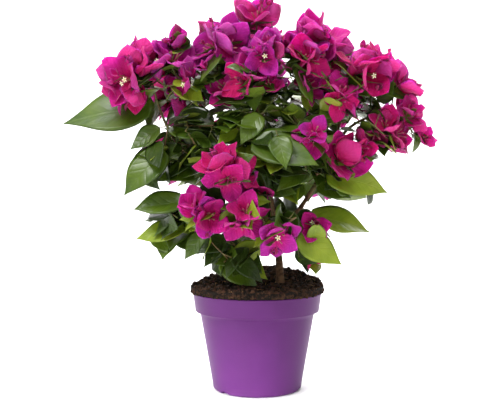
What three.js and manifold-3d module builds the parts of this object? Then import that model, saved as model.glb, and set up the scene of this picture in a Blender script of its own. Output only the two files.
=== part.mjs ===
// A bougainvillea in its nursery pot: pot, soil, woody trunk, tapering limbs and boughs, and the
// masses of leaves and of three-bract blossoms that the boughs carry.
// Millimetres, +Z up, origin in the middle of the pot's flat underside, -Y is the plant's front.
import * as THREE from 'three';
import { mergeVertices } from 'three/addons/utils/BufferGeometryUtils.js';
import Module from 'manifold-3d';

const wasm = await Module();
wasm.setup();

// ---------------------------------------------------------------- driving dimensions
const GAP = 0.3; // clearance between pieces that touch

const POT = {
  height: 127,
  rimRadius: 85,
  bandFootRadius: 81.2, // where the deep rim band ends
  bandFootHeight: 103.5,
  shoulderRadius: 74.3, // wall just under the band
  shoulderHeight: 96.5,
  footRadius: 58.2,
  footRound: 5,
  wall: 1.9,
  floor: 3.5,
  sides: 32,
};
const NOTCH = { count: 3, width: 14, height: 5, depth: 9, first: -137 }; // drainage notches in the foot

const SOIL = { crown: 11, edge: 9, spill: 87.5, lump: 1.2, rings: 6, sides: 28 };
const BANK = { height: 17, start: -0.05, end: 0.7, side: 0.25 }; // the soil heaps up towards the back
const SEAT = { radius: 10.5, height: 8, depth: 10 }; // flat place cut in the soil under the trunk
const GROUND = POT.height + SEAT.height;

const TRUNK = { foot: [30, -10], top: [25, 2, 205], footRadius: 5, topRadius: 4.2, flare: 0.5, lobes: 5 };

// Main limbs: where each leaves its parent (share of the parent's length), a point that bends it,
// its tip, and its radius at both ends.
const LIMBS = {
  left_limb: { on: 'trunk', share: 0.93, bend: [-16, 2, 246], tip: [-88, 6, 300], radii: [3.4, 2.3] },
  right_limb: { on: 'trunk', share: 0.97, bend: [60, 2, 230], tip: [104, 6, 318], radii: [3.4, 2.3] },
  back_limb: { on: 'trunk', share: 0.87, bend: [22, 36, 236], tip: [2, 44, 318], radii: [3.2, 2.3] },
  centre_limb: { on: 'trunk', share: 1, bend: [16, 2, 270], tip: [0, 0, 360], radii: [3.4, 2.3] },
  front_limb: { on: 'trunk', share: 0.75, bend: [16, -30, 200], tip: [-24, -48, 224], radii: [2.8, 2.1] },
};
const BOUGH = {
  radii: [2.2, 1.6], sides: 6, steps: 5, lead: 0.4, lift: 0.1, margin: 3.5, depth: 0.7, look: 0.02,
};

// Masses: the limb that carries each one and where, and the middle and half sizes of its space.
// Its tufts are [x, y, z, radius, blossoms, leaves]; a blossom is three bracts.
const MASSES = {
  left_blossom: { on: 'left_limb', share: 1, at: [-136, -26, 404], half: [62, 54, 54], tufts: [
    [-152, -32, 404, 48, 9, 2], [-112, -30, 416, 40, 6, 1], [-100, -14, 446, 30, 3, 0],
    [-84, -46, 396, 30, 2, 1]] },
  top_blossom: { on: 'centre_limb', share: 1, at: [-12, -28, 436], half: [68, 56, 68], tufts: [
    [-46, -24, 440, 46, 9, 1], [0, -14, 475, 40, 8, 0], [-14, -60, 396, 38, 6, 2],
    [14, -58, 428, 34, 4, 0], [-64, -42, 408, 30, 2, 2], [30, -22, 444, 30, 3, 0],
    [-32, -42, 380, 36, 3, 4], [14, -40, 392, 32, 2, 3]] },
  right_blossom: { on: 'right_limb', share: 0.9, at: [104, -28, 424], half: [66, 56, 62], tufts: [
    [76, -18, 447, 44, 9, 0], [58, -52, 426, 34, 5, 0], [134, -34, 402, 48, 10, 2],
    [160, -20, 414, 30, 3, 0], [104, -46, 374, 34, 3, 1], [56, -30, 392, 32, 2, 3]] },
  far_right_blossom: { on: 'right_limb', share: 1, at: [184, -12, 362], half: [48, 52, 62], tufts: [
    [178, -12, 390, 38, 8, 1], [164, -26, 331, 38, 6, 2], [190, -20, 352, 28, 3, 0],
    [214, -8, 326, 21, 2, 0], [148, -32, 342, 28, 3, 1]] },
  front_blossom: { on: 'front_limb', share: 1, at: [-28, -86, 246], half: [60, 44, 62], tufts: [
    [-36, -92, 282, 38, 4, 1], [-66, -80, 232, 36, 5, 1], [-16, -94, 232, 34, 4, 1],
    [24, -82, 212, 36, 5, 1], [-2, -72, 262, 32, 2, 3]] },
  low_right_spray: { on: 'trunk', share: 0.62, at: [82, -24, 204], half: [46, 40, 42], tufts: [
    [72, -32, 214, 26, 2, 3], [70, -30, 176, 24, 1, 2]] },
  left_foliage: { on: 'left_limb', share: 0.72, at: [-116, -20, 302], half: [64, 48, 44], tufts: [
    [-128, -24, 302, 44, 0, 4], [-78, -14, 350, 42, 0, 7], [-72, -30, 300, 36, 0, 4]] },
  low_left_foliage: { on: 'left_limb', share: 0.5, at: [-100, -22, 216], half: [54, 46, 54], tufts: [
    [-108, -26, 222, 46, 0, 6], [-62, -30, 234, 32, 0, 4]] },
  heart_foliage: { on: 'centre_limb', share: 0.34, at: [22, -52, 314], half: [58, 42, 46], tufts: [
    [20, -64, 308, 46, 0, 6], [-26, -40, 340, 40, 0, 5], [68, -62, 330, 30, 3, 1],
    [36, -50, 270, 36, 0, 4], [42, -40, 362, 34, 0, 4], [-38, -42, 360, 32, 0, 4]] },
  right_foliage: { on: 'right_limb', share: 0.52, at: [112, -22, 288], half: [52, 44, 42], tufts: [
    [100, -28, 296, 46, 1, 6], [120, -16, 270, 38, 0, 3], [130, -26, 318, 30, 2, 2]] },
  low_foliage: { on: 'trunk', share: 0.4, at: [-22, -40, 168], half: [44, 36, 24], tufts: [
    [-22, -42, 172, 38, 0, 7], [-52, -44, 190, 28, 0, 3]] },
  back_left_crown: { on: 'left_limb', share: 0.86, at: [-98, 60, 350], half: [68, 50, 86], tufts: [
    [-108, 56, 396, 54, 9, 3], [-92, 54, 304, 52, 2, 9], [-120, 34, 250, 40, 1, 5]] },
  back_top_crown: { on: 'back_limb', share: 1, at: [-2, 68, 388], half: [52, 50, 92], tufts: [
    [-4, 62, 428, 54, 9, 3], [4, 72, 322, 50, 2, 9]] },
  back_right_crown: { on: 'back_limb', share: 0.85, at: [106, 58, 350], half: [72, 50, 88], tufts: [
    [106, 56, 398, 56, 9, 3], [92, 58, 296, 52, 2, 8], [168, 38, 366, 40, 4, 2],
    [132, 36, 250, 40, 1, 5]] },
  low_back_foliage: { on: 'trunk', share: 0.55, at: [8, 50, 208], half: [60, 46, 46], tufts: [
    [-18, 52, 216, 44, 2, 6], [44, 54, 216, 42, 2, 5]] },
};

// Leaves that stand out of the crown and set its outline: base, bearing (0 is +X, -90 the front),
// rise, how far the face leans from straight up towards the front, all in degrees, and length.
const OUTLYING_LEAVES = [
  [-133, -12, 372, 180, -7, 60, 118], [-124, -30, 341, 184, -32, 55, 46], [-119, -34, 314, 206, -48, 62, 74],
  [-92, -36, 248, 184, -10, 50, 64], [-92, -30, 214, 182, -10, 42, 64], [-70, -16, 294, 202, -16, 68, 60],
  [-46, -8, 320, 190, -12, 62, 54], [-34, -22, 406, 176, 20, 58, 46], [4, -62, 356, 214, -46, 70, 46],
  [-8, -74, 322, -22, -14, 60, 86], [24, -84, 328, -76, -50, 64, 48], [86, -36, 282, -5, -12, 62, 80],
  [76, -20, 268, -10, -18, 60, 46], [86, -22, 308, 10, 22, 64, 48], [66, -18, 228, 2, -6, 36, 80],
  [52, -44, 206, -10, -38, 58, 64], [-48, -44, 172, -8, -28, 66, 56], [-66, -34, 208, 205, -48, 60, 42],
];

// Widths and the place of the widest point are shares of the length, fold is rise per width.
const LEAF = {
  widthShare: 0.6,
  widest: 0.4,
  fold: 0.22,
  curl: 0.1,
  stalkShare: 0.0125,
  shortest: 46,
  longest: 74,
  room: 11, // between the bases of two leaves
};
const BRACT = { widthShare: 0.86, widest: 0.44, fold: 0.3, curl: 0.12, longest: 40 };
// Three bracts open by narrow to wide degrees; two blossoms' hearts keep at least the room apart.
const TRIO = { narrow: 40, wide: 64, room: 7, smallest: 0.78, fill: 0.9, eye: 1 };
const TWIG = {
  stem: 1.7, // radii: of the stem, of a branch, of a stalk at its item, and of any twig where it starts
  branch: 1.2,
  tip: 0.8,
  root: 0.5,
  node: 4.5, // between places where a twig may start
  long: 24,
  shortest: 6,
  knee: 12,
  bow: 2.5,
  overlap: 1.5,
  choices: 16, // nodes tried for one item
};
const SPACE = {
  wall: 0.25, // half the clearance between two masses, and a little
  reach: 1.12, // how far past a tuft's radius its blades go
  above: 4, // blades stay this far above the soil, or ...
  beside: SOIL.spill + 3, // ... this far out
  bladeClear: 1.4,
  lead: 0.15, // least cosine between a stalk and the way its item faces
  tries: 160, // draws for each item
  tidy: 0.08, // surfaces move by less than this where triangles are merged
};
const FRONT = new THREE.Vector3(0, -1, 0);
const UP = new THREE.Vector3(0, 0, 1);
const CROWN = { middle: new THREE.Vector3(10, 12, 300), frontPull: 1.7 };

// ---------------------------------------------------------------- seeded draws
// A number from 0 to 1 that depends only on its whole-number keys.
function roll(...keys) {
  let h = 2166136261;
  for (const key of keys) {
    h = Math.imul(h ^ key, 16777619);
    h ^= h >>> 13;
    h = Math.imul(h, 1540483477);
    h ^= h >>> 15;
  }
  return (h >>> 0) / 4294967296;
}

const between = (low, high, ...keys) => low + (high - low) * roll(...keys);

// A unit vector that depends only on its whole-number keys.
function rollDirection(...keys) {
  const z = between(-1, 1, ...keys, 1);
  const turn = 2 * Math.PI * roll(...keys, 2);
  const flat = Math.sqrt(1 - z * z);
  return new THREE.Vector3(flat * Math.cos(turn), flat * Math.sin(turn), z);
}

// ---------------------------------------------------------------- solids
const vec = (a) => new THREE.Vector3(...a);
const radians = THREE.MathUtils.degToRad;

function solidOf(geometry) {
  const bare = new THREE.BufferGeometry().setAttribute('position', geometry.getAttribute('position'));
  if (geometry.index) bare.setIndex(geometry.index);
  const merged = mergeVertices(bare, 1e-4);
  const mesh = new wasm.Mesh({
    numProp: 3,
    vertProperties: merged.attributes.position.array,
    triVerts: new Uint32Array(merged.index.array),
  });
  return new wasm.Manifold(mesh);
}

function geometryOf(solid) {
  const mesh = solid.getMesh();
  const geometry = new THREE.BufferGeometry();
  geometry.setAttribute('position', new THREE.BufferAttribute(mesh.vertProperties, mesh.numProp));
  geometry.setIndex(new THREE.BufferAttribute(mesh.triVerts, 1));
  const flat = geometry.toNonIndexed();
  flat.computeVertexNormals();
  return flat;
}

// The one outer body of a solid: loose scraps are dropped and sealed hollows filled.
const largest = (solid) => solid.decompose().sort((p, q) => q.volume() - p.volume())[0];

function moveVertices(geometry, place) {
  const position = geometry.getAttribute('position');
  const p = new THREE.Vector3();
  for (let i = 0; i < position.count; i++) {
    p.fromBufferAttribute(position, i);
    place(p);
    position.setXYZ(i, p.x, p.y, p.z);
  }
  return geometry;
}

function closedMesh(corners, faces) {
  const geometry = new THREE.BufferGeometry().setFromPoints(corners);
  geometry.setIndex(faces.flat());
  return geometry;
}

// ---------------------------------------------------------------- pot and soil
function potSolid() {
  const { height, rimRadius, bandFootRadius, bandFootHeight, shoulderRadius, shoulderHeight } = POT;
  const { footRadius, footRound, wall, floor, sides } = POT;
  const point = (radius, z) => new THREE.Vector2(radius, z);
  const corner = [-90, -45, -8].map(radians).map((turn) => point(
    footRadius - footRound + footRound * Math.cos(turn), footRound + footRound * Math.sin(turn)));
  const outside = [
    point(0, 0), ...corner,
    point(shoulderRadius, shoulderHeight),
    point(bandFootRadius - 2.2, bandFootHeight - 4.4),
    point(bandFootRadius, bandFootHeight),
    point(rimRadius, height - 0.8),
    point(rimRadius - 0.6, height),
  ];
  const inside = [
    point(rimRadius - wall, height),
    point(bandFootRadius - wall, bandFootHeight),
    point(shoulderRadius - wall, shoulderHeight + 1.5),
    point(footRadius - wall, floor + footRound / 2),
    point(footRadius - wall - 3, floor),
    point(0, floor),
  ];
  let pot = solidOf(new THREE.LatheGeometry([...outside, ...inside], sides).rotateX(Math.PI / 2));
  for (let i = 0; i < NOTCH.count; i++) {
    const notch = new THREE.BoxGeometry(NOTCH.depth, NOTCH.width, 2 * NOTCH.height);
    notch.translate(footRadius + 1 - NOTCH.depth / 2, 0, 0);
    notch.rotateZ(radians(NOTCH.first + (360 / NOTCH.count) * i));
    pot = pot.subtract(solidOf(notch));
  }
  return pot;
}

// Height of the soil's surface above the rim: a lumpy mound with a bank behind the trunk.
function soilHeight(x, y) {
  const share = Math.hypot(x, y) / SOIL.spill;
  const lumps = Math.sin(x * 0.21 + 1) * Math.cos(y * 0.24) + 0.6 * Math.sin(x * 0.47 + y * 0.39);
  const back = (y + BANK.side * x) / SOIL.spill;
  const bank = BANK.height * THREE.MathUtils.smoothstep(back, BANK.start, BANK.end);
  const mound = SOIL.edge + (SOIL.crown - SOIL.edge) * (1 - share ** 4);
  return mound + (bank + SOIL.lump * lumps) * (1 - share ** 6);
}

// The soil fills the pot, stands above it and spills a little over the lip.
function soilSolid() {
  const inner = (radius) => radius - POT.wall - GAP;
  const profile = [
    [0, POT.floor + GAP],
    [inner(POT.footRadius) - 3.4, POT.floor + GAP],
    [inner(POT.footRadius) - 0.4, POT.floor + POT.footRound / 2 + GAP],
    [inner(POT.shoulderRadius) - 0.2, POT.shoulderHeight + 1.5],
    [inner(POT.bandFootRadius) - 0.2, POT.bandFootHeight + 0.5],
    [inner(POT.rimRadius) - 0.2, POT.height + GAP],
    [SOIL.spill - 1.5, POT.height + 1.6],
  ];
  const topMark = 1000; // heights above this are the surface rings, placed by soilHeight
  for (let i = SOIL.rings; i >= 0; i--) profile.push([SOIL.spill * (i / SOIL.rings) ** 0.8, topMark]);
  const lathe = new THREE.LatheGeometry(profile.map((p) => new THREE.Vector2(...p)), SOIL.sides);
  const soil = solidOf(moveVertices(lathe.rotateX(Math.PI / 2), (p) => {
    if (p.z === topMark) p.z = POT.height + soilHeight(p.x, p.y);
  }));
  const seat = new THREE.CylinderGeometry(SEAT.radius, SEAT.radius, SEAT.depth, 16).rotateX(Math.PI / 2);
  return soil.subtract(solidOf(seat.translate(...TRUNK.foot, GROUND + SEAT.depth / 2)));
}

// ---------------------------------------------------------------- limbs
// A round bar bent along a curve. Its radius depends on the share of the way along and the turn.
function bentBar(curve, radiusAt, sides, steps) {
  const cylinder = new THREE.CylinderGeometry(1, 1, 1, sides, steps).translate(0, 0.5, 0);
  const frames = curve.computeFrenetFrames(steps, false);
  return moveVertices(cylinder, (p) => {
    const i = Math.round(p.y * steps);
    const radius = radiusAt(p.y, Math.atan2(p.z, p.x));
    const [side, rise] = [p.x * radius, p.z * radius];
    p.copy(curve.getPointAt(i / steps)).addScaledVector(frames.normals[i], -side);
    p.addScaledVector(frames.binormals[i], rise);
  });
}

function makeLimb(curve, radiusAt, sides, steps) {
  const wider = (share, turn) => radiusAt(share, turn) + GAP;
  return {
    curve,
    radiusAt,
    solid: solidOf(bentBar(curve, radiusAt, sides, steps)),
    clearance: solidOf(bentBar(curve, wider, sides, steps)),
    spots: spotsAlong(curve, radiusAt),
  };
}

// Points every few millimetres along a limb, with its radius there, to keep leaves and twigs off.
function spotsAlong(curve, radiusAt) {
  const count = Math.ceil(curve.getLength() / 4);
  return Array.from({ length: count + 1 }, (_, i) => ({
    at: curve.getPoint(i / count), radius: radiusAt(i / count, 0),
  }));
}

function growLimbs() {
  const foot = new THREE.Vector3(...TRUNK.foot, GROUND + GAP);
  const above = new THREE.Vector3(foot.x, foot.y, (foot.z + TRUNK.top[2]) / 2);
  const flare = (share, turn) => (TRUNK.footRadius + (TRUNK.topRadius - TRUNK.footRadius) * share)
    * (1 + TRUNK.flare * Math.exp(-share * 9) * (1 + 0.35 * Math.cos(TRUNK.lobes * turn)));
  const trunkCurve = new THREE.QuadraticBezierCurve3(foot, above, vec(TRUNK.top));
  const limbs = { trunk: makeLimb(trunkCurve, flare, 12, 8) };
  for (const [name, limb] of Object.entries(LIMBS)) {
    const curve = new THREE.QuadraticBezierCurve3(
      limbs[limb.on].curve.getPoint(limb.share), vec(limb.bend), vec(limb.tip));
    const radiusAt = (share) => THREE.MathUtils.lerp(...limb.radii, share);
    addLimb(limbs, name, makeLimb(curve, radiusAt, 7, 6));
  }
  return limbs;
}

// A new limb gives way, by the clearance, to those already grown.
function addLimb(limbs, name, limb) {
  let solid = limb.solid;
  for (const other of Object.values(limbs)) solid = solid.subtract(other.clearance);
  limb.solid = largest(solid);
  limbs[name] = limb;
}

// ---------------------------------------------------------------- the space of each mass
// Flat walls between a mass and every other one, placed by the two half sizes that meet there.
function wallsOf(name) {
  const mine = MASSES[name];
  const centre = vec(mine.at);
  return Object.entries(MASSES).filter(([other]) => other !== name).map(([, mass]) => {
    const normal = vec(mass.at).sub(centre);
    const apart = normal.length();
    normal.divideScalar(apart);
    const reach = (half) => Math.hypot(half[0] * normal.x, half[1] * normal.y, half[2] * normal.z);
    const share = reach(mine.half) / (reach(mine.half) + reach(mass.half));
    return { normal, limit: normal.dot(centre) + apart * share };
  });
}

function spaceOf(name) {
  const { at, half } = MASSES[name];
  const walls = wallsOf(name);
  return {
    walled: (p, margin) => walls.every(({ normal, limit }) => normal.dot(p) < limit - margin),
    depthOf: (p) => Math.hypot((p.x - at[0]) / half[0], (p.y - at[1]) / half[1], (p.z - at[2]) / half[2]),
  };
}

// A bough leads from its place on a limb towards the middle of its mass, and ends just inside.
function growBough(name, space, limbs) {
  const { on, share, at } = MASSES[name];
  const parent = limbs[on];
  const start = parent.curve.getPoint(share);
  const middle = vec(at);
  const apart = start.distanceTo(middle);
  const bend = start.clone().addScaledVector(parent.curve.getTangent(share), apart * BOUGH.lead);
  bend.z += apart * BOUGH.lift;
  const whole = new THREE.QuadraticBezierCurve3(start, bend, middle);
  const inside = (p) => space.walled(p, BOUGH.margin) && space.depthOf(p) < BOUGH.depth;
  let enter = 1;
  while (enter > 0 && inside(whole.getPoint(enter - BOUGH.look))) enter -= BOUGH.look;
  const tip = whole.getPoint(enter);
  const curve = new THREE.QuadraticBezierCurve3(start, start.clone().lerp(bend, enter), tip);
  const radiusAt = (along) => THREE.MathUtils.lerp(...BOUGH.radii, along);
  return makeLimb(curve, radiusAt, BOUGH.sides, BOUGH.steps);
}

// ---------------------------------------------------------------- blades: leaves and bracts
// A blade lies along `a`, is `b` wide and looks along `n`; its halves fold up and its tip curls down.
function makeBlade(base, along, face, length, shape) {
  const a = along.clone().normalize();
  const n = face.clone().addScaledVector(a, -face.dot(a)).normalize();
  return { base, a, n, b: new THREE.Vector3().crossVectors(n, a), length, shape };
}

function bladePoint(blade, along, across) {
  const { base, a, b, n, length, shape } = blade;
  const rise = shape.fold * Math.abs(across) - shape.curl * length * along * along;
  const flat = base.clone().addScaledVector(a, along * length).addScaledVector(b, across);
  return flat.addScaledVector(n, rise);
}

// Base, left side, tip and right side.
function bladeCorners(blade) {
  const { length, shape } = blade;
  const half = (length * shape.widthShare) / 2;
  return [bladePoint(blade, 0, 0), bladePoint(blade, shape.widest, -half), bladePoint(blade, 1, 0),
    bladePoint(blade, shape.widest, half)];
}

// Half width of the blade's rounded outline, as a share of its greatest.
function outline(along, widest) {
  if (along <= 0 || along >= 1) return 0;
  return Math.sin(Math.PI * along ** (Math.log(0.5) / Math.log(widest)));
}

function bladeTouches(blade, spot) {
  const away = spot.at.clone().sub(blade.base);
  const along = away.dot(blade.a) / blade.length;
  const across = Math.abs(away.dot(blade.b));
  const room = spot.radius + SPACE.bladeClear;
  if (along * blade.length < -room || (along - 1) * blade.length > room) return false;
  const held = THREE.MathUtils.clamp(along, 0, 1);
  const half = (blade.length * blade.shape.widthShare / 2) * outline(held, blade.shape.widest);
  const rise = blade.shape.fold * across - blade.shape.curl * blade.length * held * held;
  return across < half + room && Math.abs(away.dot(blade.n) - rise) < room;
}

// The blade as two triangles that meet at its midrib, and the five edges that bound and fold them.
function sheetOf(blade) {
  const [base, left, tip, right] = bladeCorners(blade);
  return {
    middle: base.clone().lerp(tip, 0.5),
    reach: blade.length * 0.6,
    triangles: [[base, left, tip], [base, tip, right]],
    edges: [[base, left], [left, tip], [tip, right], [right, base], [base, tip]],
  };
}

const ray = new THREE.Ray();
const hit = new THREE.Vector3();

function edgeCuts([from, to], [p, q, r]) {
  ray.origin.copy(from);
  ray.direction.subVectors(to, from);
  const length = ray.direction.length();
  ray.direction.divideScalar(length);
  return ray.intersectTriangle(p, q, r, false, hit) !== null && hit.distanceTo(from) < length;
}

function sheetsCross(one, other) {
  if (one.middle.distanceTo(other.middle) > one.reach + other.reach) return false;
  return one.edges.some((edge) => other.triangles.some((triangle) => edgeCuts(edge, triangle)))
    || other.edges.some((edge) => one.triangles.some((triangle) => edgeCuts(edge, triangle)));
}

// ---------------------------------------------------------------- what a mass bears
// A blossom or a leaf. Its twig comes in along `lead`, within a wide angle.
function makeItem(at, lead, blades, room, outlying = false) {
  return { at, lead, blades, room, outlying, sheets: blades.map(sheetOf) };
}

function makeTrio(at, axis, size, turn, opening) {
  const side = new THREE.Vector3().crossVectors(axis, Math.abs(axis.z) < 0.9 ? UP : FRONT).normalize();
  const blades = [0, 1, 2].map((i) => {
    const out = side.clone().applyAxisAngle(axis, turn + (i * 2 * Math.PI) / 3);
    const along = axis.clone().multiplyScalar(Math.cos(opening)).addScaledVector(out, Math.sin(opening));
    const face = axis.clone().multiplyScalar(Math.sin(opening)).addScaledVector(out, -Math.cos(opening));
    return makeBlade(at, along, face, size, BRACT);
  });
  return makeItem(at, axis, blades, TRIO.room);
}

// The way out of the crown at a place, drawn towards the plant's front and back.
function outwards(at) {
  const out = at.clone().sub(CROWN.middle);
  out.y *= CROWN.frontPull;
  return out.normalize();
}

function drawTrio(tuft, seed, attempt) {
  const out = outwards(tuft.at);
  const toward = rollDirection(seed, attempt, 3).add(out).normalize();
  const longest = Math.min(BRACT.longest, TRIO.fill * tuft.radius);
  const size = longest * between(TRIO.smallest, 1, seed, attempt, 6);
  const depth = Math.max(0, SPACE.reach * tuft.radius - size) * Math.sqrt(roll(seed, attempt, 4));
  const at = tuft.at.clone().addScaledVector(toward, depth);
  const axis = toward.addScaledVector(out, 0.7).addScaledVector(rollDirection(seed, attempt, 5), 0.6);
  const opening = radians(between(TRIO.narrow, TRIO.wide, seed, attempt, 7));
  return makeTrio(at, axis.normalize(), size, 2 * Math.PI * roll(seed, attempt, 8), opening);
}

function drawLeaf(tuft, seed, attempt) {
  const out = outwards(tuft.at);
  const toward = rollDirection(seed, attempt, 9);
  const middle = tuft.at.clone().addScaledVector(toward, 0.75 * tuft.radius * roll(seed, attempt, 10));
  const along = rollDirection(seed, attempt, 11).addScaledVector(out, 0.5).addScaledVector(toward, 0.5);
  along.z = along.z * 0.5 - 0.25;
  along.normalize();
  const face = rollDirection(seed, attempt, 12).multiplyScalar(0.5).addScaledVector(out, 0.9);
  face.addScaledVector(UP, 0.9);
  const length = Math.min(1.6 * tuft.radius, between(LEAF.shortest, LEAF.longest, seed, attempt, 13));
  const at = middle.addScaledVector(along, -length / 2);
  return makeItem(at, along, [makeBlade(at, along, face, length, LEAF)], LEAF.room);
}

function outlyingLeaf([x, y, z, bearing, rise, lean, length]) {
  const at = new THREE.Vector3(x, y, z);
  const along = new THREE.Vector3(Math.cos(radians(rise)), 0, Math.sin(radians(rise)));
  along.applyAxisAngle(UP, radians(bearing));
  const face = UP.clone().applyAxisAngle(new THREE.Vector3(1, 0, 0), radians(lean));
  return makeItem(at, along, [makeBlade(at, along, face, length, LEAF)], LEAF.room, true);
}

// ---------------------------------------------------------------- twigs
// Three points round a centre, square to `way`; the first lies towards `first`.
function ringOf(centre, way, first, radius) {
  const side = first.clone().addScaledVector(way, -first.dot(way)).normalize();
  return [0, 1, 2].map((i) => centre.clone().addScaledVector(
    side.clone().applyAxisAngle(way, (i * 2 * Math.PI) / 3), radius));
}

const barWalls = [[2, 1, 0], [0, 1, 3], [1, 4, 3], [1, 2, 4], [2, 5, 4], [2, 0, 5], [0, 3, 5]];

// A three-sided tapering bar from one point to another.
function twigSolid(from, to, startRadius, endRadius) {
  const way = to.clone().sub(from).normalize();
  const first = new THREE.Vector3().crossVectors(way, Math.abs(way.z) < 0.9 ? UP : FRONT);
  const corners = [...ringOf(from, way, first, startRadius), ...ringOf(to, way, first, endRadius)];
  return solidOf(closedMesh(corners, [...barWalls, [3, 4, 5]]));
}

// A leaf on its stalk: the bar's end ring opens into an upper and a lower face.
function leafSolid({ at, blades: [blade], from }) {
  const way = at.clone().sub(from).normalize();
  const under = blade.n.clone().negate();
  const radius = Math.max(TWIG.tip, LEAF.stalkShare * blade.length);
  const [, left, tip, right] = bladeCorners(blade);
  const stalk = [...ringOf(from, way, under, TWIG.root), ...ringOf(at, blade.a, under, radius)];
  const corners = [...stalk, left, tip, right];
  const upper = [[4, 5, 7], [5, 6, 7], [4, 7, 8]];
  const lower = [[5, 3, 6], [3, 7, 6], [3, 8, 7], [3, 4, 8]];
  return solidOf(closedMesh(corners, [...barWalls, ...upper, ...lower]));
}

// A blossom on its stalk: a bract opens from each side of the bar's end, round a raised eye.
function trioSolid({ at, lead, blades, from }) {
  const way = at.clone().sub(from).normalize();
  const between = blades[0].a.clone().add(blades[2].a);
  const eye = at.clone().addScaledVector(lead, TRIO.eye);
  const corners = [...ringOf(from, way, between, TWIG.root), ...ringOf(at, lead, between, TWIG.tip), eye];
  const bracts = blades.flatMap((blade, i) => {
    const [, left, tip, right] = bladeCorners(blade);
    const k = corners.push(left, tip, right) - 3;
    const [p, q] = [3 + i, 3 + ((i + 1) % 3)];
    const inner = [[6, p, k], [6, k, k + 1], [6, k + 1, k + 2], [6, k + 2, q]];
    return [[p, q, k + 1], [p, k + 1, k], [q, k + 2, k + 1], ...inner];
  });
  return solidOf(closedMesh(corners, [...barWalls, ...bracts]));
}

function twigClear(from, to, space, spots) {
  const margin = TWIG.stem + GAP;
  if (!space.walled(from, margin) || !space.walled(to, margin)) return false;
  const length = from.distanceTo(to);
  for (let done = 0; done <= length; done += 2) {
    const p = from.clone().lerp(to, done / length);
    if (spots.some(({ at, radius }) => at.distanceTo(p) < radius + TWIG.stem + GAP)) return false;
  }
  return true;
}

// Grows a mass: its stem from the bough's tip, a branch to each tuft, then blossoms and leaves by
// a seeded rule. Each is joined by a twig to the nearest fork that a clear twig can reach, and one
// that would leave the space, touch a limb or cross an earlier one is skipped.
function growMass(name, number, bough, space, spots) {
  const mass = MASSES[name];
  const way = bough.curve.getTangent(1);
  const start = bough.curve.getPoint(1).addScaledVector(way, GAP);
  const neck = start.clone().addScaledVector(way, 5);
  const heart = neck.clone().lerp(vec(mass.at), 0.75);
  const twigs = [];
  const bars = []; // every stretch of twig and stalk, for leaves to keep off
  const nodes = []; // places where a side twig may start
  const addTwig = (from, to, startRadius, endRadius) => {
    twigs.push([from, to, startRadius, endRadius]);
    bars.push([from, to]);
    const count = Math.floor(from.distanceTo(to) / TWIG.node);
    for (let i = 1; i < count; i++) nodes.push(from.clone().lerp(to, i / count));
  };
  twigs.push([start, neck.clone().addScaledVector(way, TWIG.overlap), TWIG.stem, TWIG.stem]);
  addTwig(neck, heart, TWIG.stem, TWIG.branch);
  const items = [];
  const sheets = [];

  const fits = (item, tuft) => {
    const corners = item.blades.flatMap(bladeCorners);
    return corners.every((p) => space.walled(p, SPACE.wall))
      && (item.outlying || corners.every((p) => p.distanceTo(tuft.at) < SPACE.reach * tuft.radius))
      && corners.every((p) => Math.hypot(p.x, p.y) > SPACE.beside
        || p.z > POT.height + soilHeight(p.x, p.y) + SPACE.above)
      && items.every((other) => other.at.distanceTo(item.at) > (other.room + item.room) / 2)
      && !spots.some((spot) => item.blades.some((blade) => bladeTouches(blade, spot)))
      && !item.sheets.some((sheet) => sheets.some((other) => sheetsCross(sheet, other)))
      && !bars.some((bar) => item.sheets.some(({ triangles }) => triangles.some((t) => edgeCuts(bar, t))));
  };
  const cuts = (from, to) => sheets.some(({ triangles }) => triangles.some((t) => edgeCuts([from, to], t)));
  const clear = (from, to) => twigClear(from, to, space, spots) && !cuts(from, to);
  // Where the last stretch of twig to a place starts, or nothing where no clear twig reaches it. A
  // twig that is long, or would arrive from the wrong side, has a knee.
  const reach = (at, lead, choices = TWIG.choices) => {
    const near = nodes.map((node) => ({ node, apart: node.distanceTo(at) }));
    near.sort((p, q) => p.apart - q.apart);
    for (const { node, apart } of near.slice(0, choices)) {
      if (apart < TWIG.shortest) continue;
      const facing = !lead || lead.dot(at.clone().sub(node)) >= SPACE.lead * apart;
      if (facing && apart < TWIG.long) {
        if (!clear(node, at)) continue;
        nodes.splice(nodes.indexOf(node), 1);
        return node;
      }
      const knee = lead ? at.clone().addScaledVector(lead, -TWIG.knee) : node.clone().lerp(at, 0.55);
      knee.z -= TWIG.bow;
      if (knee.distanceTo(node) < TWIG.shortest || !clear(node, knee) || !clear(knee, at)) continue;
      nodes.splice(nodes.indexOf(node), 1);
      addTwig(node, knee, TWIG.root, TWIG.branch);
      return knee;
    }
    return undefined;
  };
  const take = (item, tuft) => {
    if (!fits(item, tuft)) return false;
    const from = reach(item.at, item.lead, item.outlying ? nodes.length : TWIG.choices);
    if (!from) return false;
    items.push({ ...item, from });
    bars.push([from, item.at]);
    nodes.push(from.clone().lerp(item.at, 0.5));
    sheets.push(...item.sheets);
    return true;
  };

  const tufts = mass.tufts.map(([x, y, z, radius]) => ({ at: new THREE.Vector3(x, y, z), radius }));
  for (const { at } of tufts) {
    const from = reach(at);
    if (from) addTwig(from, at, TWIG.root, TWIG.branch);
  }
  for (const row of OUTLYING_LEAVES) take(outlyingLeaf(row));
  mass.tufts.forEach(([, , , , trios, leaves], index) => {
    for (const [draw, count, kind] of [[drawTrio, trios, 1], [drawLeaf, leaves, 2]]) {
      const seed = 100 * number + 10 * index + kind;
      let taken = 0;
      for (let attempt = 0; attempt < count * SPACE.tries && taken < count; attempt++) {
        if (take(draw(tufts[index], seed, attempt), tufts[index])) taken++;
      }
    }
  });
  return { items, twigs };
}

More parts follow.
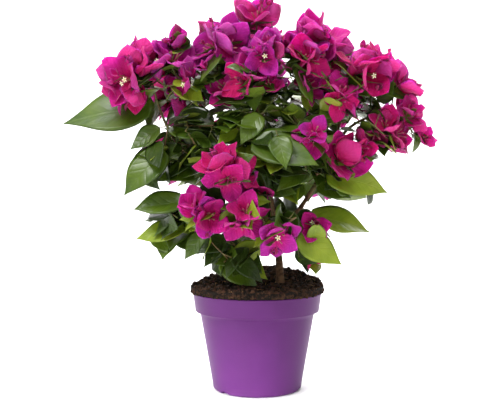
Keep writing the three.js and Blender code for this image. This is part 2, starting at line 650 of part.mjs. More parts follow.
function massSolid({ items, twigs }) {
  const bars = twigs.map((twig) => twigSolid(...twig));
  const borne = items.map((item) => (item.blades.length > 1 ? trioSolid(item) : leafSolid(item)));
  const solid = [...bars, ...borne].reduce((sum, piece) => sum.add(piece));
  return largest(largest(solid).asOriginal().simplify(SPACE.tidy));
}

// ---------------------------------------------------------------- the plant
const MATERIALS = {
  plastic: { color: 0x8a4f9b, roughness: 0.42 },
  soil: { color: 0x3c2c20, roughness: 1 },
  bark: { color: 0x5f4630, roughness: 0.85 },
  leaf: { color: 0x45602a, roughness: 0.45 },
  blossom: { color: 0xb81c7e, roughness: 0.6 },
};

const plant = new THREE.Group();

function addPiece(name, solid, finish) {
  const material = new THREE.MeshStandardMaterial({ ...MATERIALS[finish], metalness: 0 });
  const mesh = new THREE.Mesh(geometryOf(solid), material);
  mesh.name = name;
  plant.add(mesh);
}

addPiece('pot', potSolid(), 'plastic');
addPiece('soil', soilSolid(), 'soil');

const limbs = growLimbs();
const spaces = Object.fromEntries(Object.keys(MASSES).map((name) => [name, spaceOf(name)]));
for (const [name, space] of Object.entries(spaces)) {
  addLimb(limbs, `${name}_bough`, growBough(name, space, limbs));
}
for (const [name, limb] of Object.entries(limbs)) addPiece(name, limb.solid, 'bark');

const spots = Object.values(limbs).flatMap((limb) => limb.spots);
Object.keys(MASSES).forEach((name, index) => {
  const grown = growMass(name, index + 1, limbs[`${name}_bough`], spaces[name], spots);
  addPiece(name, massSolid(grown), name.endsWith('foliage') ? 'leaf' : 'blossom');
});

export default plant;
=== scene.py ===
"""The looks of a potted bougainvillea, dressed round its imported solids.

Trunk, boughs, twigs, leaves and blossoms are grown again here by the solids' own seeded rule, then
carried on to finer ones inside the same spaces. The growth rule counts in millimetres, meshes are
in metres, +Z is up and -Y is the plant's front.
"""

from __future__ import annotations

import logging
import math
from collections.abc import Callable
from dataclasses import dataclass, field
from enum import Enum

import bpy
import numpy as np
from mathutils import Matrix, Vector


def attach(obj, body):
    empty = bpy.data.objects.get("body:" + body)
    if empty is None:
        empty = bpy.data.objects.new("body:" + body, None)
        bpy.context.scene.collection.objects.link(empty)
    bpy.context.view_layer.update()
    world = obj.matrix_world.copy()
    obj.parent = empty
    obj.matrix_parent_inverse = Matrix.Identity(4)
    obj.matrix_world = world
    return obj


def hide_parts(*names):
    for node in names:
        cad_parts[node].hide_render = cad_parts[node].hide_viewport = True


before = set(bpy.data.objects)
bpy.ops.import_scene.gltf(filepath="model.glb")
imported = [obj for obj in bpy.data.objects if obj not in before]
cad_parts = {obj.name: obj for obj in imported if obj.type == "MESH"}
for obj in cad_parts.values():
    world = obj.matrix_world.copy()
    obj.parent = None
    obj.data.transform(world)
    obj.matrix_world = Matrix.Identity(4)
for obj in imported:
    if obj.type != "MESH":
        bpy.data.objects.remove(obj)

LOG = logging.getLogger("bougainvillea")
Array = np.ndarray
Mesh = tuple[np.ndarray, np.ndarray]  # points and faces
Pair = tuple[float, float]
Triple = tuple[float, float, float]
Colour = tuple[float, float, float, float]
MM = 0.001
ROOT = "root"
UP = np.array((0.0, 0.0, 1.0))
FRONT = np.array((0.0, -1.0, 0.0))

# ---------- the growth rule's sizes, mm
GAP = 0.3
SPOT_STEP = 4
GROUND = 135.0
TRUNK = {"foot": (30, -10), "top": (25, 2, 205), "radii": (5.0, 4.2), "flare": 0.5, "lobes": 5}
LIMBS = {
    "left_limb": ("trunk", 0.93, (-16, 2, 246), (-88, 6, 300), (3.4, 2.3)),
    "right_limb": ("trunk", 0.97, (60, 2, 230), (104, 6, 318), (3.4, 2.3)),
    "back_limb": ("trunk", 0.87, (22, 36, 236), (2, 44, 318), (3.2, 2.3)),
    "centre_limb": ("trunk", 1.0, (16, 2, 270), (0, 0, 360), (3.4, 2.3)),
    "front_limb": ("trunk", 0.75, (16, -30, 200), (-24, -48, 224), (2.8, 2.1)),
}
BOUGH = {"radii": (2.2, 1.6), "lead": 0.4, "lift": 0.1, "margin": 3.5, "depth": 0.7, "look": 0.02}
TWIG = {"stem": 1.7, "branch": 1.2, "tip": 0.8, "root": 0.5, "node": 4.5, "long": 24.0,
        "shortest": 6.0, "knee": 12.0, "bend": 0.55, "bow": 2.5, "overlap": 1.5, "choices": 16,
        "neck": 5.0, "heart": 0.75}
SPACE = {"reach": 1.12, "above": 4.0, "beside": 90.5, "clear": 1.4, "lead": 0.15, "tries": 160,
         "near": 190.0}
CROWN_MIDDLE = np.array((10.0, 12.0, 300.0))
CROWN_PULL = np.array((1.0, 1.7, 1.0))

# Limb, share along it, middle and half sizes of the space, then the tufts: place, radius, and how
# many blossoms and leaves the solids carry there.
MASSES = {
    "left_blossom": ("left_limb", 1, (-136, -26, 404), (62, 54, 54), (
        (-152, -32, 404, 48, 9, 2), (-112, -30, 416, 40, 6, 1), (-100, -14, 446, 30, 3, 0),
        (-84, -46, 396, 30, 2, 1))),
    "top_blossom": ("centre_limb", 1, (-12, -28, 436), (68, 56, 68), (
        (-46, -24, 440, 46, 9, 1), (0, -14, 475, 40, 8, 0), (-14, -60, 396, 38, 6, 2),
        (14, -58, 428, 34, 4, 0), (-64, -42, 408, 30, 2, 2), (30, -22, 444, 30, 3, 0),
        (-32, -42, 380, 36, 3, 4), (14, -40, 392, 32, 2, 3))),
    "right_blossom": ("right_limb", 0.9, (104, -28, 424), (66, 56, 62), (
        (76, -18, 447, 44, 9, 0), (58, -52, 426, 34, 5, 0), (134, -34, 402, 48, 10, 2),
        (160, -20, 414, 30, 3, 0), (104, -46, 374, 34, 3, 1), (56, -30, 392, 32, 2, 3))),
    "far_right_blossom": ("right_limb", 1, (184, -12, 362), (48, 52, 62), (
        (178, -12, 390, 38, 8, 1), (164, -26, 331, 38, 6, 2), (190, -20, 352, 28, 3, 0),
        (214, -8, 326, 21, 2, 0), (148, -32, 342, 28, 3, 1))),
    "front_blossom": ("front_limb", 1, (-28, -86, 246), (60, 44, 62), (
        (-36, -92, 282, 38, 4, 1), (-66, -80, 232, 36, 5, 1), (-16, -94, 232, 34, 4, 1),
        (24, -82, 212, 36, 5, 1), (-2, -72, 262, 32, 2, 3))),
    "low_right_spray": ("trunk", 0.62, (82, -24, 204), (46, 40, 42), (
        (72, -32, 214, 26, 2, 3), (70, -30, 176, 24, 1, 2))),
    "left_foliage": ("left_limb", 0.72, (-116, -20, 302), (64, 48, 44), (
        (-128, -24, 302, 44, 0, 4), (-78, -14, 350, 42, 0, 7), (-72, -30, 300, 36, 0, 4))),
    "low_left_foliage": ("left_limb", 0.5, (-100, -22, 216), (54, 46, 54), (
        (-108, -26, 222, 46, 0, 6), (-62, -30, 234, 32, 0, 4))),
    "heart_foliage": ("centre_limb", 0.34, (22, -52, 314), (58, 42, 46), (
        (20, -64, 308, 46, 0, 6), (-26, -40, 340, 40, 0, 5), (68, -62, 330, 30, 3, 1),
        (36, -50, 270, 36, 0, 4), (42, -40, 362, 34, 0, 4), (-38, -42, 360, 32, 0, 4))),
    "right_foliage": ("right_limb", 0.52, (112, -22, 288), (52, 44, 42), (
        (100, -28, 296, 46, 1, 6), (120, -16, 270, 38, 0, 3), (130, -26, 318, 30, 2, 2))),
    "low_foliage": ("trunk", 0.4, (-22, -40, 168), (44, 36, 24), (
        (-22, -42, 172, 38, 0, 7), (-52, -44, 190, 28, 0, 3))),
    "back_left_crown": ("left_limb", 0.86, (-98, 60, 350), (68, 50, 86), (
        (-108, 56, 396, 54, 9, 3), (-92, 54, 304, 52, 2, 9), (-120, 34, 250, 40, 1, 5))),
    "back_top_crown": ("back_limb", 1, (-2, 68, 388), (52, 50, 92), (
        (-4, 62, 428, 54, 9, 3), (4, 72, 322, 50, 2, 9))),
    "back_right_crown": ("back_limb", 0.85, (106, 58, 350), (72, 50, 88), (
        (106, 56, 398, 56, 9, 3), (92, 58, 296, 52, 2, 8), (168, 38, 366, 40, 4, 2),
        (132, 36, 250, 40, 1, 5))),
    "low_back_foliage": ("trunk", 0.55, (8, 50, 208), (60, 46, 46), (
        (-18, 52, 216, 44, 2, 6), (44, 54, 216, 42, 2, 5))),
}
EVERY_MASS = tuple(MASSES)
OUTLYING_LEAVES = (
    (-133, -12, 372, 180, -7, 60, 118), (-124, -30, 341, 184, -32, 55, 46),
    (-119, -34, 314, 206, -48, 62, 74), (-92, -36, 248, 184, -10, 50, 64), (-92, -30, 214, 182, -10, 42, 64),
    (-70, -16, 294, 202, -16, 68, 60), (-46, -8, 320, 190, -12, 62, 54), (-34, -22, 406, 176, 20, 58, 46),
    (4, -62, 356, 214, -46, 70, 46), (-8, -74, 322, -22, -14, 60, 86), (24, -84, 328, -76, -50, 64, 48),
    (86, -36, 282, -5, -12, 62, 80), (76, -20, 268, -10, -18, 60, 46), (86, -22, 308, 10, 22, 64, 48),
    (66, -18, 228, 2, -6, 36, 80), (52, -44, 206, -10, -38, 58, 64), (-48, -44, 172, -8, -28, 66, 56),
    (-66, -34, 208, 205, -48, 60, 42),
)
# Tufts of finer growth alone, deep in the crown: place, radius, and how many blossoms and leaves.
INNER_TUFTS = {
    "top_blossom": ((42, -28, 438, 27, 3, 1), (-52, -18, 378, 28, 1, 4), (-4, -4, 430, 34, 3, 2)),
    "right_blossom": ((54, -22, 422, 28, 3, 1), (104, -4, 420, 34, 4, 2)),
    "left_blossom": ((-104, -2, 410, 34, 3, 2),),
    "heart_foliage": ((-2, -30, 330, 36, 0, 4), (50, -34, 310, 34, 0, 4)),
    "right_foliage": ((104, 4, 300, 34, 0, 5),),
    "left_foliage": ((-100, 6, 310, 34, 0, 5),),
    "back_left_crown": ((-60, 62, 400, 40, 6, 3), (-104, 28, 420, 34, 5, 2), (-90, 26, 360, 36, 4, 4),
                        (-140, 26, 370, 32, 3, 2), (-56, 60, 340, 38, 3, 5), (-84, 24, 300, 36, 0, 6)),
    "back_top_crown": ((-2, 30, 440, 36, 6, 2), (0, 34, 380, 38, 3, 5), (-34, 56, 380, 34, 4, 4),
                       (34, 56, 380, 34, 4, 4), (0, 30, 330, 36, 0, 6)),
    "back_right_crown": ((60, 60, 400, 40, 6, 3), (108, 28, 415, 34, 5, 2), (100, 26, 360, 36, 4, 4),
                         (150, 26, 390, 32, 4, 2), (58, 60, 340, 38, 3, 5), (94, 24, 300, 36, 0, 6)),
    "low_back_foliage": ((10, 24, 230, 36, 0, 6),),
}


class Organ(Enum):
    """What a stalk bears, with the number that seeds its draws."""

    BLOSSOM = 1
    LEAF = 2
    FINE_BLOSSOM = 3
    FINE_LEAF = 4
    BUD = 5


@dataclass(frozen=True)
class BladeForm:
    """Proportions of a leaf or bract, as shares of its length.

    Attributes:
        width: greatest width.
        widest: how far along the greatest width lies.
        fold: rise of the halves per width.
        curl: fall of the tip.
        shortest: least length, mm.
        longest: greatest length, mm.
        room: distance kept between two bases, mm.
    """

    width: float
    widest: float
    fold: float
    curl: float
    shortest: float
    longest: float
    room: float


LEAF = BladeForm(0.6, 0.4, 0.22, 0.1, 46, 74, 11)
BRACT = BladeForm(0.86, 0.44, 0.3, 0.12, 31.2, 40, 7)
TRIO = {"opens": (40, 64), "smallest": 0.78, "fill": 0.9}


# ---------- vectors and seeded draws
def unit(v: Array) -> Array:
    """Vectors scaled to length one along the last axis."""
    return v / np.linalg.norm(v, axis=-1, keepdims=True)


def dot(a: Array, b: Array) -> Array:
    """Scalar products along the last axis."""
    return np.sum(a * b, axis=-1)


def roll(*keys: Array | int) -> Array:
    """Numbers from 0 to 1 that depend only on whole-number keys, by mixing in each key in turn.

    Args:
        keys: whole numbers or arrays of them that broadcast together.

    Returns:
        One draw for each set of keys.
    """
    with np.errstate(over="ignore"):
        spread = np.broadcast_arrays(*[np.asarray(key).astype(np.uint32) for key in keys])
        h = np.full(spread[0].shape, 2166136261, dtype=np.uint32)
        for key in spread:
            h = (h ^ key) * np.uint32(16777619)
            h = h ^ (h >> np.uint32(13))
            h = h * np.uint32(1540483477)
            h = h ^ (h >> np.uint32(15))
    return h / 4294967296.0


def between(low: Array | float, high: Array | float, *keys: Array | int) -> Array:
    """Seeded numbers from low to high."""
    return low + (high - low) * roll(*keys)


def roll_direction(*keys: Array | int) -> Array:
    """Seeded unit vectors, evenly spread over the sphere.

    Args:
        keys: the seeds.

    Returns:
        Unit vectors.
    """
    z = between(-1, 1, *keys, 1)
    turn = 2 * math.pi * roll(*keys, 2)
    flat = np.sqrt(1 - z * z)
    return np.stack((flat * np.cos(turn), flat * np.sin(turn), z), axis=-1)


def around(radius: Array | float, turn: Array, height: Array | float) -> Array:
    """Places at distances and angles round the Z axis, at heights."""
    return np.stack(np.broadcast_arrays(radius * np.cos(turn), radius * np.sin(turn), height), axis=-1)


def turned(v: Array, axis: Array, angle: Array) -> Array:
    """Vectors turned about unit axes by angles, by Rodrigues' formula."""
    c, s = np.cos(angle)[..., None], np.sin(angle)[..., None]
    return v * c + np.cross(axis, v) * s + axis * dot(axis, v)[..., None] * (1 - c)


def value_noise(points: Array, size: float, seed: int) -> Array:
    """Smooth noise from 0 to 1: seeded values at the corners of a lattice, blended between them.

    Args:
        points: places, (n, 3).
        size: lattice spacing, in the points' unit.
        seed: picks the pattern.

    Returns:
        One value for each place.
    """
    scaled = points / size + 1000.0
    cell = np.floor(scaled).astype(np.int64)
    f = scaled - cell
    f = f * f * (3 - 2 * f)
    total = np.zeros(len(points))
    for corner in np.ndindex(2, 2, 2):
        step = np.array(corner)
        weight = np.prod(np.where(step == 1, f, 1 - f), axis=1)
        place = cell + step
        total += weight * roll(place[:, 0], place[:, 1], place[:, 2], seed)
    return total


def bezier(points: Array, t: Array | float) -> Array:
    """Places on quadratic curves: (1-t)^2 first + 2t(1-t) second + t^2 third point.

    Args:
        points: three control points, (..., 3, 3).
        t: shares of the way, a number or (..., k) with the same leading axes.

    Returns:
        Places, (..., k, 3), or (3,) for a number.
    """
    t = np.asarray(t, dtype=float)[..., None]
    first, second, third = (points[..., i, :] for i in range(3))
    if t.ndim > first.ndim:
        first, second, third = (p[..., None, :] for p in (first, second, third))
    return (1 - t) ** 2 * first + 2 * (1 - t) * t * second + t * t * third


def heading(points: Array, t: float) -> Array:
    """Unit direction of a curve at a share of its way."""
    low, high = bezier(points, np.array((max(t - 1e-4, 0), min(t + 1e-4, 1))))
    return unit(high - low)


# ---------- meshes
def stand(name: str, data: bpy.types.ID) -> bpy.types.Object:
    """A new object of that mesh, lamp or camera, in the scene.

    Args:
        name: its name.
        data: what it shows.

    Returns:
        The object.
    """
    made = bpy.data.objects.new(name, data)
    bpy.context.scene.collection.objects.link(made)
    return made


def add_piece(name: str, points: Array, faces: Array, finish: "Finish",
              replaced: tuple[str, ...], uv: Array | None = None) -> bpy.types.Object:
    """Makes one smooth piece that rides on the plant's body and stands for CAD nodes.

    Args:
        name: the piece's name.
        points: vertices in metres, (n, 3).
        faces: vertex numbers, (m, 3), outward.
        finish: what dresses it.
        replaced: the CAD nodes it stands for.
        uv: a place on the pattern for each vertex, (n, 2).

    Returns:
        The new object.
    """
    mesh = bpy.data.meshes.new(name)
    mesh.vertices.add(len(points))
    mesh.vertices.foreach_set("co", points.astype(np.float32).ravel())
    mesh.loops.add(faces.size)
    mesh.loops.foreach_set("vertex_index", faces.astype(np.int32).ravel())
    mesh.polygons.add(len(faces))
    mesh.polygons.foreach_set("loop_start", np.arange(0, faces.size, 3, dtype=np.int32))
    mesh.update(calc_edges=True)
    if uv is not None:
        layer = mesh.uv_layers.new(name="BladeUV")
        layer.data.foreach_set("uv", uv[faces.ravel()].astype(np.float32).ravel())
    mesh.polygons.foreach_set("use_smooth", np.ones(len(faces), dtype=bool))
    mesh.validate()
    piece = stand(name, mesh)
    mesh.materials.append(finish.material())
    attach(piece, ROOT)
    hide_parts(*replaced)
    LOG.info("%s: %d triangles", name, len(faces))
    return piece


def split_quads(quads: Array) -> Array:
    """Each four-sided face as two triangles."""
    return np.concatenate((quads[:, (0, 1, 2)], quads[:, (0, 2, 3)]))


def join(parts: list[Mesh]) -> Mesh:
    """Several (points, faces) as one, with the faces renumbered.

    Args:
        parts: points and faces of each.

    Returns:
        Points and faces of all.
    """
    starts = np.cumsum([0] + [len(points) for points, _ in parts[:-1]])
    points = np.concatenate([points for points, _ in parts])
    faces = np.concatenate([faces + start for (_, faces), start in zip(parts, starts)])
    return points, faces


def tube_faces(rings: int, sides: int) -> Array:
    """Triangles of a closed tube whose vertices are its rings, then its two end points.

    Args:
        rings: rings along the tube.
        sides: points in a ring.

    Returns:
        The triangles.
    """
    ring, side = np.meshgrid(np.arange(rings - 1), np.arange(sides), indexing="ij")
    ring, side = ring.ravel(), side.ravel()
    after = (side + 1) % sides
    walls = np.stack((ring * sides + side, ring * sides + after,
                      (ring + 1) * sides + after, (ring + 1) * sides + side), axis=1)
    turn = np.arange(sides)
    first, last = rings * sides, rings * sides + 1
    start = np.stack((np.full(sides, first), (turn + 1) % sides, turn), axis=1)
    top = (rings - 1) * sides
    end = np.stack((np.full(sides, last), top + turn, top + (turn + 1) % sides), axis=1)
    return np.concatenate((split_quads(walls), start, end))


def tubes(paths: Array, radii: Array, sides: int) -> Mesh:
    """Closed round tubes along paths: a ring of points round each place, square to the way.

    Args:
        paths: places along each tube, (n, k, 3).
        radii: radius at each place, (n, k), or round the ring too, (n, k, sides).
        sides: points in a ring.

    Returns:
        Points and triangles of all tubes.
    """
    count, rings = paths.shape[:2]
    way = unit(np.gradient(paths, axis=1))
    whole = unit(paths[:, -1] - paths[:, 0])
    reference = np.where(np.abs(whole[:, 2:]) < 0.9, UP, FRONT)[:, None, :]
    side = unit(np.cross(way, np.broadcast_to(reference, way.shape)))
    rise = np.cross(way, side)
    turn = 2 * math.pi * np.arange(sides) / sides
    ring = (side[:, :, None, :] * np.cos(turn)[:, None] + rise[:, :, None, :] * np.sin(turn)[:, None])
    reach = radii[..., None, None] if radii.ndim == 2 else radii[..., None]
    walls = paths[:, :, None, :] + ring * reach
    ends = paths[:, (0, -1)]
    points = np.concatenate((walls.reshape(count, -1, 3), ends), axis=1)
    template = tube_faces(rings, sides)
    faces = template[None] + (np.arange(count) * points.shape[1])[:, None, None]
    return points.reshape(-1, 3), faces.reshape(-1, 3)


def revolve(profile: Array, sides: int) -> Mesh:
    """A profile of (radius, height) turned about the Z axis; it starts and ends on the axis.

    Args:
        profile: radius and height of each ring.
        sides: points in a ring.

    Returns:
        Points and faces.
    """
    inner = profile[1:-1]
    turn = 2 * math.pi * np.arange(sides) / sides
    rings = np.stack((inner[:, :1] * np.cos(turn), inner[:, :1] * np.sin(turn),
                      np.broadcast_to(inner[:, 1:], (len(inner), sides))), axis=-1)
    ends = np.array(((0, 0, profile[0, 1]), (0, 0, profile[-1, 1])))
    return np.concatenate((rings.reshape(-1, 3), ends)), tube_faces(len(inner), sides)


# ---------- node helpers
class Tree:
    """A thin writer of shader nodes."""

    def __init__(self, tree: bpy.types.NodeTree) -> None:
        """Keeps the node tree that it writes into."""
        self.tree = tree

    def node(self, kind: str, inputs: dict | None = None, **settings: object) -> bpy.types.Node:
        """Adds a node, sets its properties, and sets or links its inputs.

        Args:
            kind: the node's class name.
            inputs: input name or number to a value or an output socket.
            settings: properties of the node.

        Returns:
            The new node.
        """
        made = self.tree.nodes.new(kind)
        for key, value in settings.items():
            setattr(made, key, value)
        for key, value in (inputs or {}).items():
            if isinstance(value, bpy.types.NodeSocket):
                self.tree.links.new(value, made.inputs[key])
            else:
                made.inputs[key].default_value = value
        return made

    def math(self, operation: str, *values: object) -> bpy.types.NodeSocket:
        """The output of a Math node on numbers or sockets."""
        return self.node("ShaderNodeMath", dict(enumerate(values)), operation=operation).outputs[0]

    def ramp(self, value: object, low: float, high: float) -> bpy.types.NodeSocket:
        """Smooth step from 0 where the value is low to 1 where it is high."""
        made = self.node("ShaderNodeMapRange", {"Value": value, "From Min": low, "From Max": high},
                         interpolation_type="SMOOTHSTEP")
        return made.outputs["Result"]

    def mix(self, share: object, first: object, second: object) -> bpy.types.NodeSocket:
        """Colour from first to second by a share."""
        made = self.node("ShaderNodeMix", {0: share, 6: first, 7: second}, data_type="RGBA")
        return made.outputs[2]


def shader_group(name: str, takes: dict[str, float | None], gives: tuple[str, ...]
                 ) -> tuple[bpy.types.NodeTree, Tree, bpy.types.Node]:
    """An empty node group with named inputs (None for a vector) and number outputs.

    Args:
        name: the group's name.
        takes: its inputs and their values.
        gives: its outputs.

    Returns:
        The group, its tree and its input node.
    """
    group = bpy.data.node_groups.new(name, "ShaderNodeTree")
    for label, value in takes.items():
        kind = "NodeSocketVector" if value is None else "NodeSocketFloat"
        made = group.interface.new_socket(name=label, in_out="INPUT", socket_type=kind)
        if value is not None:
            made.default_value = value
    for label in gives:
        group.interface.new_socket(name=label, in_out="OUTPUT", socket_type="NodeSocketFloat")
    return group, Tree(group), group.nodes.new("NodeGroupInput")


def make_vein_group() -> bpy.types.NodeTree:
    """Midrib and side veins of a blade, from a place measured in blade lengths.

    The first coordinate runs from base to tip, plus 2 on the lower skin; the second is 0.5 on the
    midrib. A side vein runs where (along - slant * across) * count is whole.

    Returns:
        The group.
    """
    group, tree, source = shader_group(
        "blade_veins", {"Place": None, "Count": 9.0, "Slant": 0.9}, ("Veins", "Lower", "Height", "Along"))
    parts = tree.node("ShaderNodeSeparateXYZ", {0: source.outputs["Place"]})
    lower = tree.math("GREATER_THAN", parts.outputs[0], 1.5)
    along = tree.math("SUBTRACT", parts.outputs[0], tree.math("MULTIPLY", lower, 2.0))
    across = tree.math("ABSOLUTE", tree.math("SUBTRACT", parts.outputs[1], 0.5))
    midrib = tree.ramp(across, 0.014, 0.002)
    lean = tree.math("MULTIPLY", across, source.outputs["Slant"])
    order = tree.math("MULTIPLY", tree.math("SUBTRACT", along, lean), source.outputs["Count"])
    nearest = tree.math("ABSOLUTE", tree.math("SUBTRACT", tree.math("FRACT", order), 0.5))
    side = tree.ramp(nearest, 0.4, 0.5)
    fade = tree.ramp(across, 0.3, 0.02)
    veins = tree.math("MAXIMUM", midrib, tree.math("MULTIPLY", side, fade))
    quilt = tree.math("SUBTRACT", 1.0, tree.math("MULTIPLY", nearest, 2.0))
    height = tree.math("SUBTRACT", 1.0, tree.math("MAXIMUM", midrib, tree.math("POWER", quilt, 3.0)))
    tree.node("NodeGroupOutput", {"Veins": veins, "Lower": lower, "Height": height, "Along": along})
    return group


def make_mottle_group() -> bpy.types.NodeTree:
    """Cloudy patches and fine grain from two noises, as a mask from 0 to 1 and a height.

    Returns:
        The group.
    """
    group, tree, source = shader_group(
        "mottle", {"Place": None, "Patch": 30.0, "Grain": 400.0}, ("Mask", "Height"))
    patch = tree.node("ShaderNodeTexNoise", {"Vector": source.outputs["Place"],
                                            "Scale": source.outputs["Patch"], "Detail": 3.0})
    grain = tree.node("ShaderNodeTexNoise", {"Vector": source.outputs["Place"],
                                            "Scale": source.outputs["Grain"], "Detail": 2.0})
    mask = tree.ramp(patch.outputs[0], 0.34, 0.66)
    height = tree.math("ADD", tree.math("MULTIPLY", patch.outputs[0], 0.5), grain.outputs[0])
    tree.node("NodeGroupOutput", {"Mask": mask, "Height": height})
    return group


GROUPS: dict[str, bpy.types.NodeTree] = {}


def shared_group(name: str) -> bpy.types.NodeTree:
    """The node group of that name, built the first time it is asked for.

    Args:
        name: the group's name.

    Returns:
        The group.
    """
    makers = {"veins": make_vein_group, "mottle": make_mottle_group}
    if name not in GROUPS:
        GROUPS[name] = makers[name]()
    return GROUPS[name]


def linear(red: int, green: int, blue: int) -> Colour:
    """A display colour of 0 to 255 as linear light, by the sRGB curve.

    Args:
        red: the red part.
        green: the green part.
        blue: the blue part.

    Returns:
        The colour, with alpha 1.
    """
    parts = np.array((red, green, blue)) / 255
    light = np.where(parts <= 0.04045, parts / 12.92, ((parts + 0.055) / 1.055) ** 2.4)
    return (*light.tolist(), 1.0)


@dataclass(frozen=True)
class Finish:
    """A named finish with one Principled shader.

    Attributes:
        name: the material's name.
        base: main colour.
        second: colour of the patches.
        roughness: roughness of the surface.
        relief: depth of the grain, metres.
        patch: patches per metre.
        grain: grains per metre.
        specular: specular level.
    """

    name: str
    base: Colour
    second: Colour
    roughness: float = 0.6
    relief: float = 0.0002
    patch: float = 30.0
    grain: float = 400.0
    specular: float = 0.5

    def material(self) -> bpy.types.Material:
        """The finish's material, built once.

        Returns:
            The material.
        """
        known = bpy.data.materials.get(self.name)
        if known:
            return known
        material = bpy.data.materials.new(self.name)
        material.use_nodes = True
        tree = Tree(material.node_tree)
        self.dress(tree, material.node_tree.nodes["Principled BSDF"])
        return material

    def mottle(self, tree: Tree) -> bpy.types.Node:
        """The mottle group on the piece's own coordinates.

        Args:
            tree: the material's tree.

        Returns:
            The group node.
        """
        place = tree.node("ShaderNodeTexCoord").outputs["Object"]
        group = tree.node("ShaderNodeGroup", node_tree=shared_group("mottle"))
        tree.tree.links.new(place, group.inputs["Place"])
        group.inputs["Patch"].default_value = self.patch
        group.inputs["Grain"].default_value = self.grain
        return group

    def bump(self, tree: Tree, shader: bpy.types.Node, height: bpy.types.NodeSocket,
             depth: float) -> None:
        """Raises the shader's normal by a height of that depth in metres."""
        bump = tree.node("ShaderNodeBump", {"Height": height, "Distance": depth, "Strength": 1.0})
        tree.tree.links.new(bump.outputs[0], shader.inputs["Normal"])

    def dress(self, tree: Tree, shader: bpy.types.Node) -> None:
        """Patches of two colours over a fine grain.

        Args:
            tree: the material's tree.
            shader: its surface.
        """
        shader.inputs["Roughness"].default_value = self.roughness
        shader.inputs["Specular IOR Level"].default_value = self.specular
        group = self.mottle(tree)
        colour = tree.mix(group.outputs["Mask"], self.base, self.second)
        tree.tree.links.new(colour, shader.inputs["Base Color"])
        self.bump(tree, shader, group.outputs["Height"], self.relief)


@dataclass(frozen=True)
class BladeFinish(Finish):
    """A leaf or bract: veins, a paler or darker lower skin, soft patches and a painted glow and shade at the
    base.

    Attributes:
        vein: colour of the veins.
        lower: colour of the lower skin.
        veins: side veins along the blade.
        slant: how far the side veins lean towards the tip.
        vein_share: how strongly the veins show.
        painted_glow: colour painted on the base, fading out towards the tip; painted glow of light through
            the bract and painted shade at its base.
        painted_glow_share: how strongly the base takes that painted glow and shade.
        sheen: weight of the velvety edge light.
        sheen_roughness: how widely that light spreads.
        glow: share of the light that passes through.
        glow_tint: how far red, green and blue travel inside, next to each other.
        glow_depth: how far they travel, metres.
    """

    vein: Colour = (0.3, 0.4, 0.1, 1.0)
    lower: Colour = (0.1, 0.2, 0.05, 1.0)
    veins: float = 9.0
    slant: float = 0.9
    vein_share: float = 0.5
    # Painted light: hot pink at the base, fading out towards the tip, stands for light glowing through the
    # bract and for the shade at its base.
    painted_glow: Colour = (0.5, 0.02, 0.2, 1.0)
    painted_glow_share: float = 0.0
    sheen: float = 0.0
    sheen_roughness: float = 0.4
    glow: float = 0.0
    glow_tint: Triple = (1.0, 0.5, 0.7)
    glow_depth: float = 0.003

    def dress(self, tree: Tree, shader: bpy.types.Node) -> None:
        """Patches, the other colour on the lower skin, a painted glow and shade at the base, then veins.

        Args:
            tree: the material's tree.
            shader: its surface.
        """
        values = {"Roughness": self.roughness, "Specular IOR Level": self.specular,
                  "Sheen Weight": self.sheen, "Sheen Roughness": self.sheen_roughness,
                  "Subsurface Weight": self.glow, "Subsurface Radius": self.glow_tint,
                  "Subsurface Scale": self.glow_depth}
        for label, value in values.items():
            shader.inputs[label].default_value = value
        place = tree.node("ShaderNodeUVMap", uv_map="BladeUV").outputs[0]
        veins = tree.node("ShaderNodeGroup", node_tree=shared_group("veins"))
        tree.tree.links.new(place, veins.inputs["Place"])
        veins.inputs["Count"].default_value = self.veins
        veins.inputs["Slant"].default_value = self.slant
        patches = self.mottle(tree)
        upper = tree.mix(patches.outputs["Mask"], self.base, self.second)
        both = tree.mix(veins.outputs["Lower"], upper, self.lower)
        # Painted glow and shade: full at the bract's base, fading out by 0.72 of its length.
        base = tree.math("MULTIPLY", tree.ramp(veins.outputs["Along"], 0.72, 0.08), self.painted_glow_share)
        with_painted_glow = tree.mix(base, both, self.painted_glow)
        share = tree.math("MULTIPLY", veins.outputs["Veins"], self.vein_share)
        tree.tree.links.new(tree.mix(share, with_painted_glow, self.vein), shader.inputs["Base Color"])
        self.bump(tree, shader, veins.outputs["Height"], self.relief)


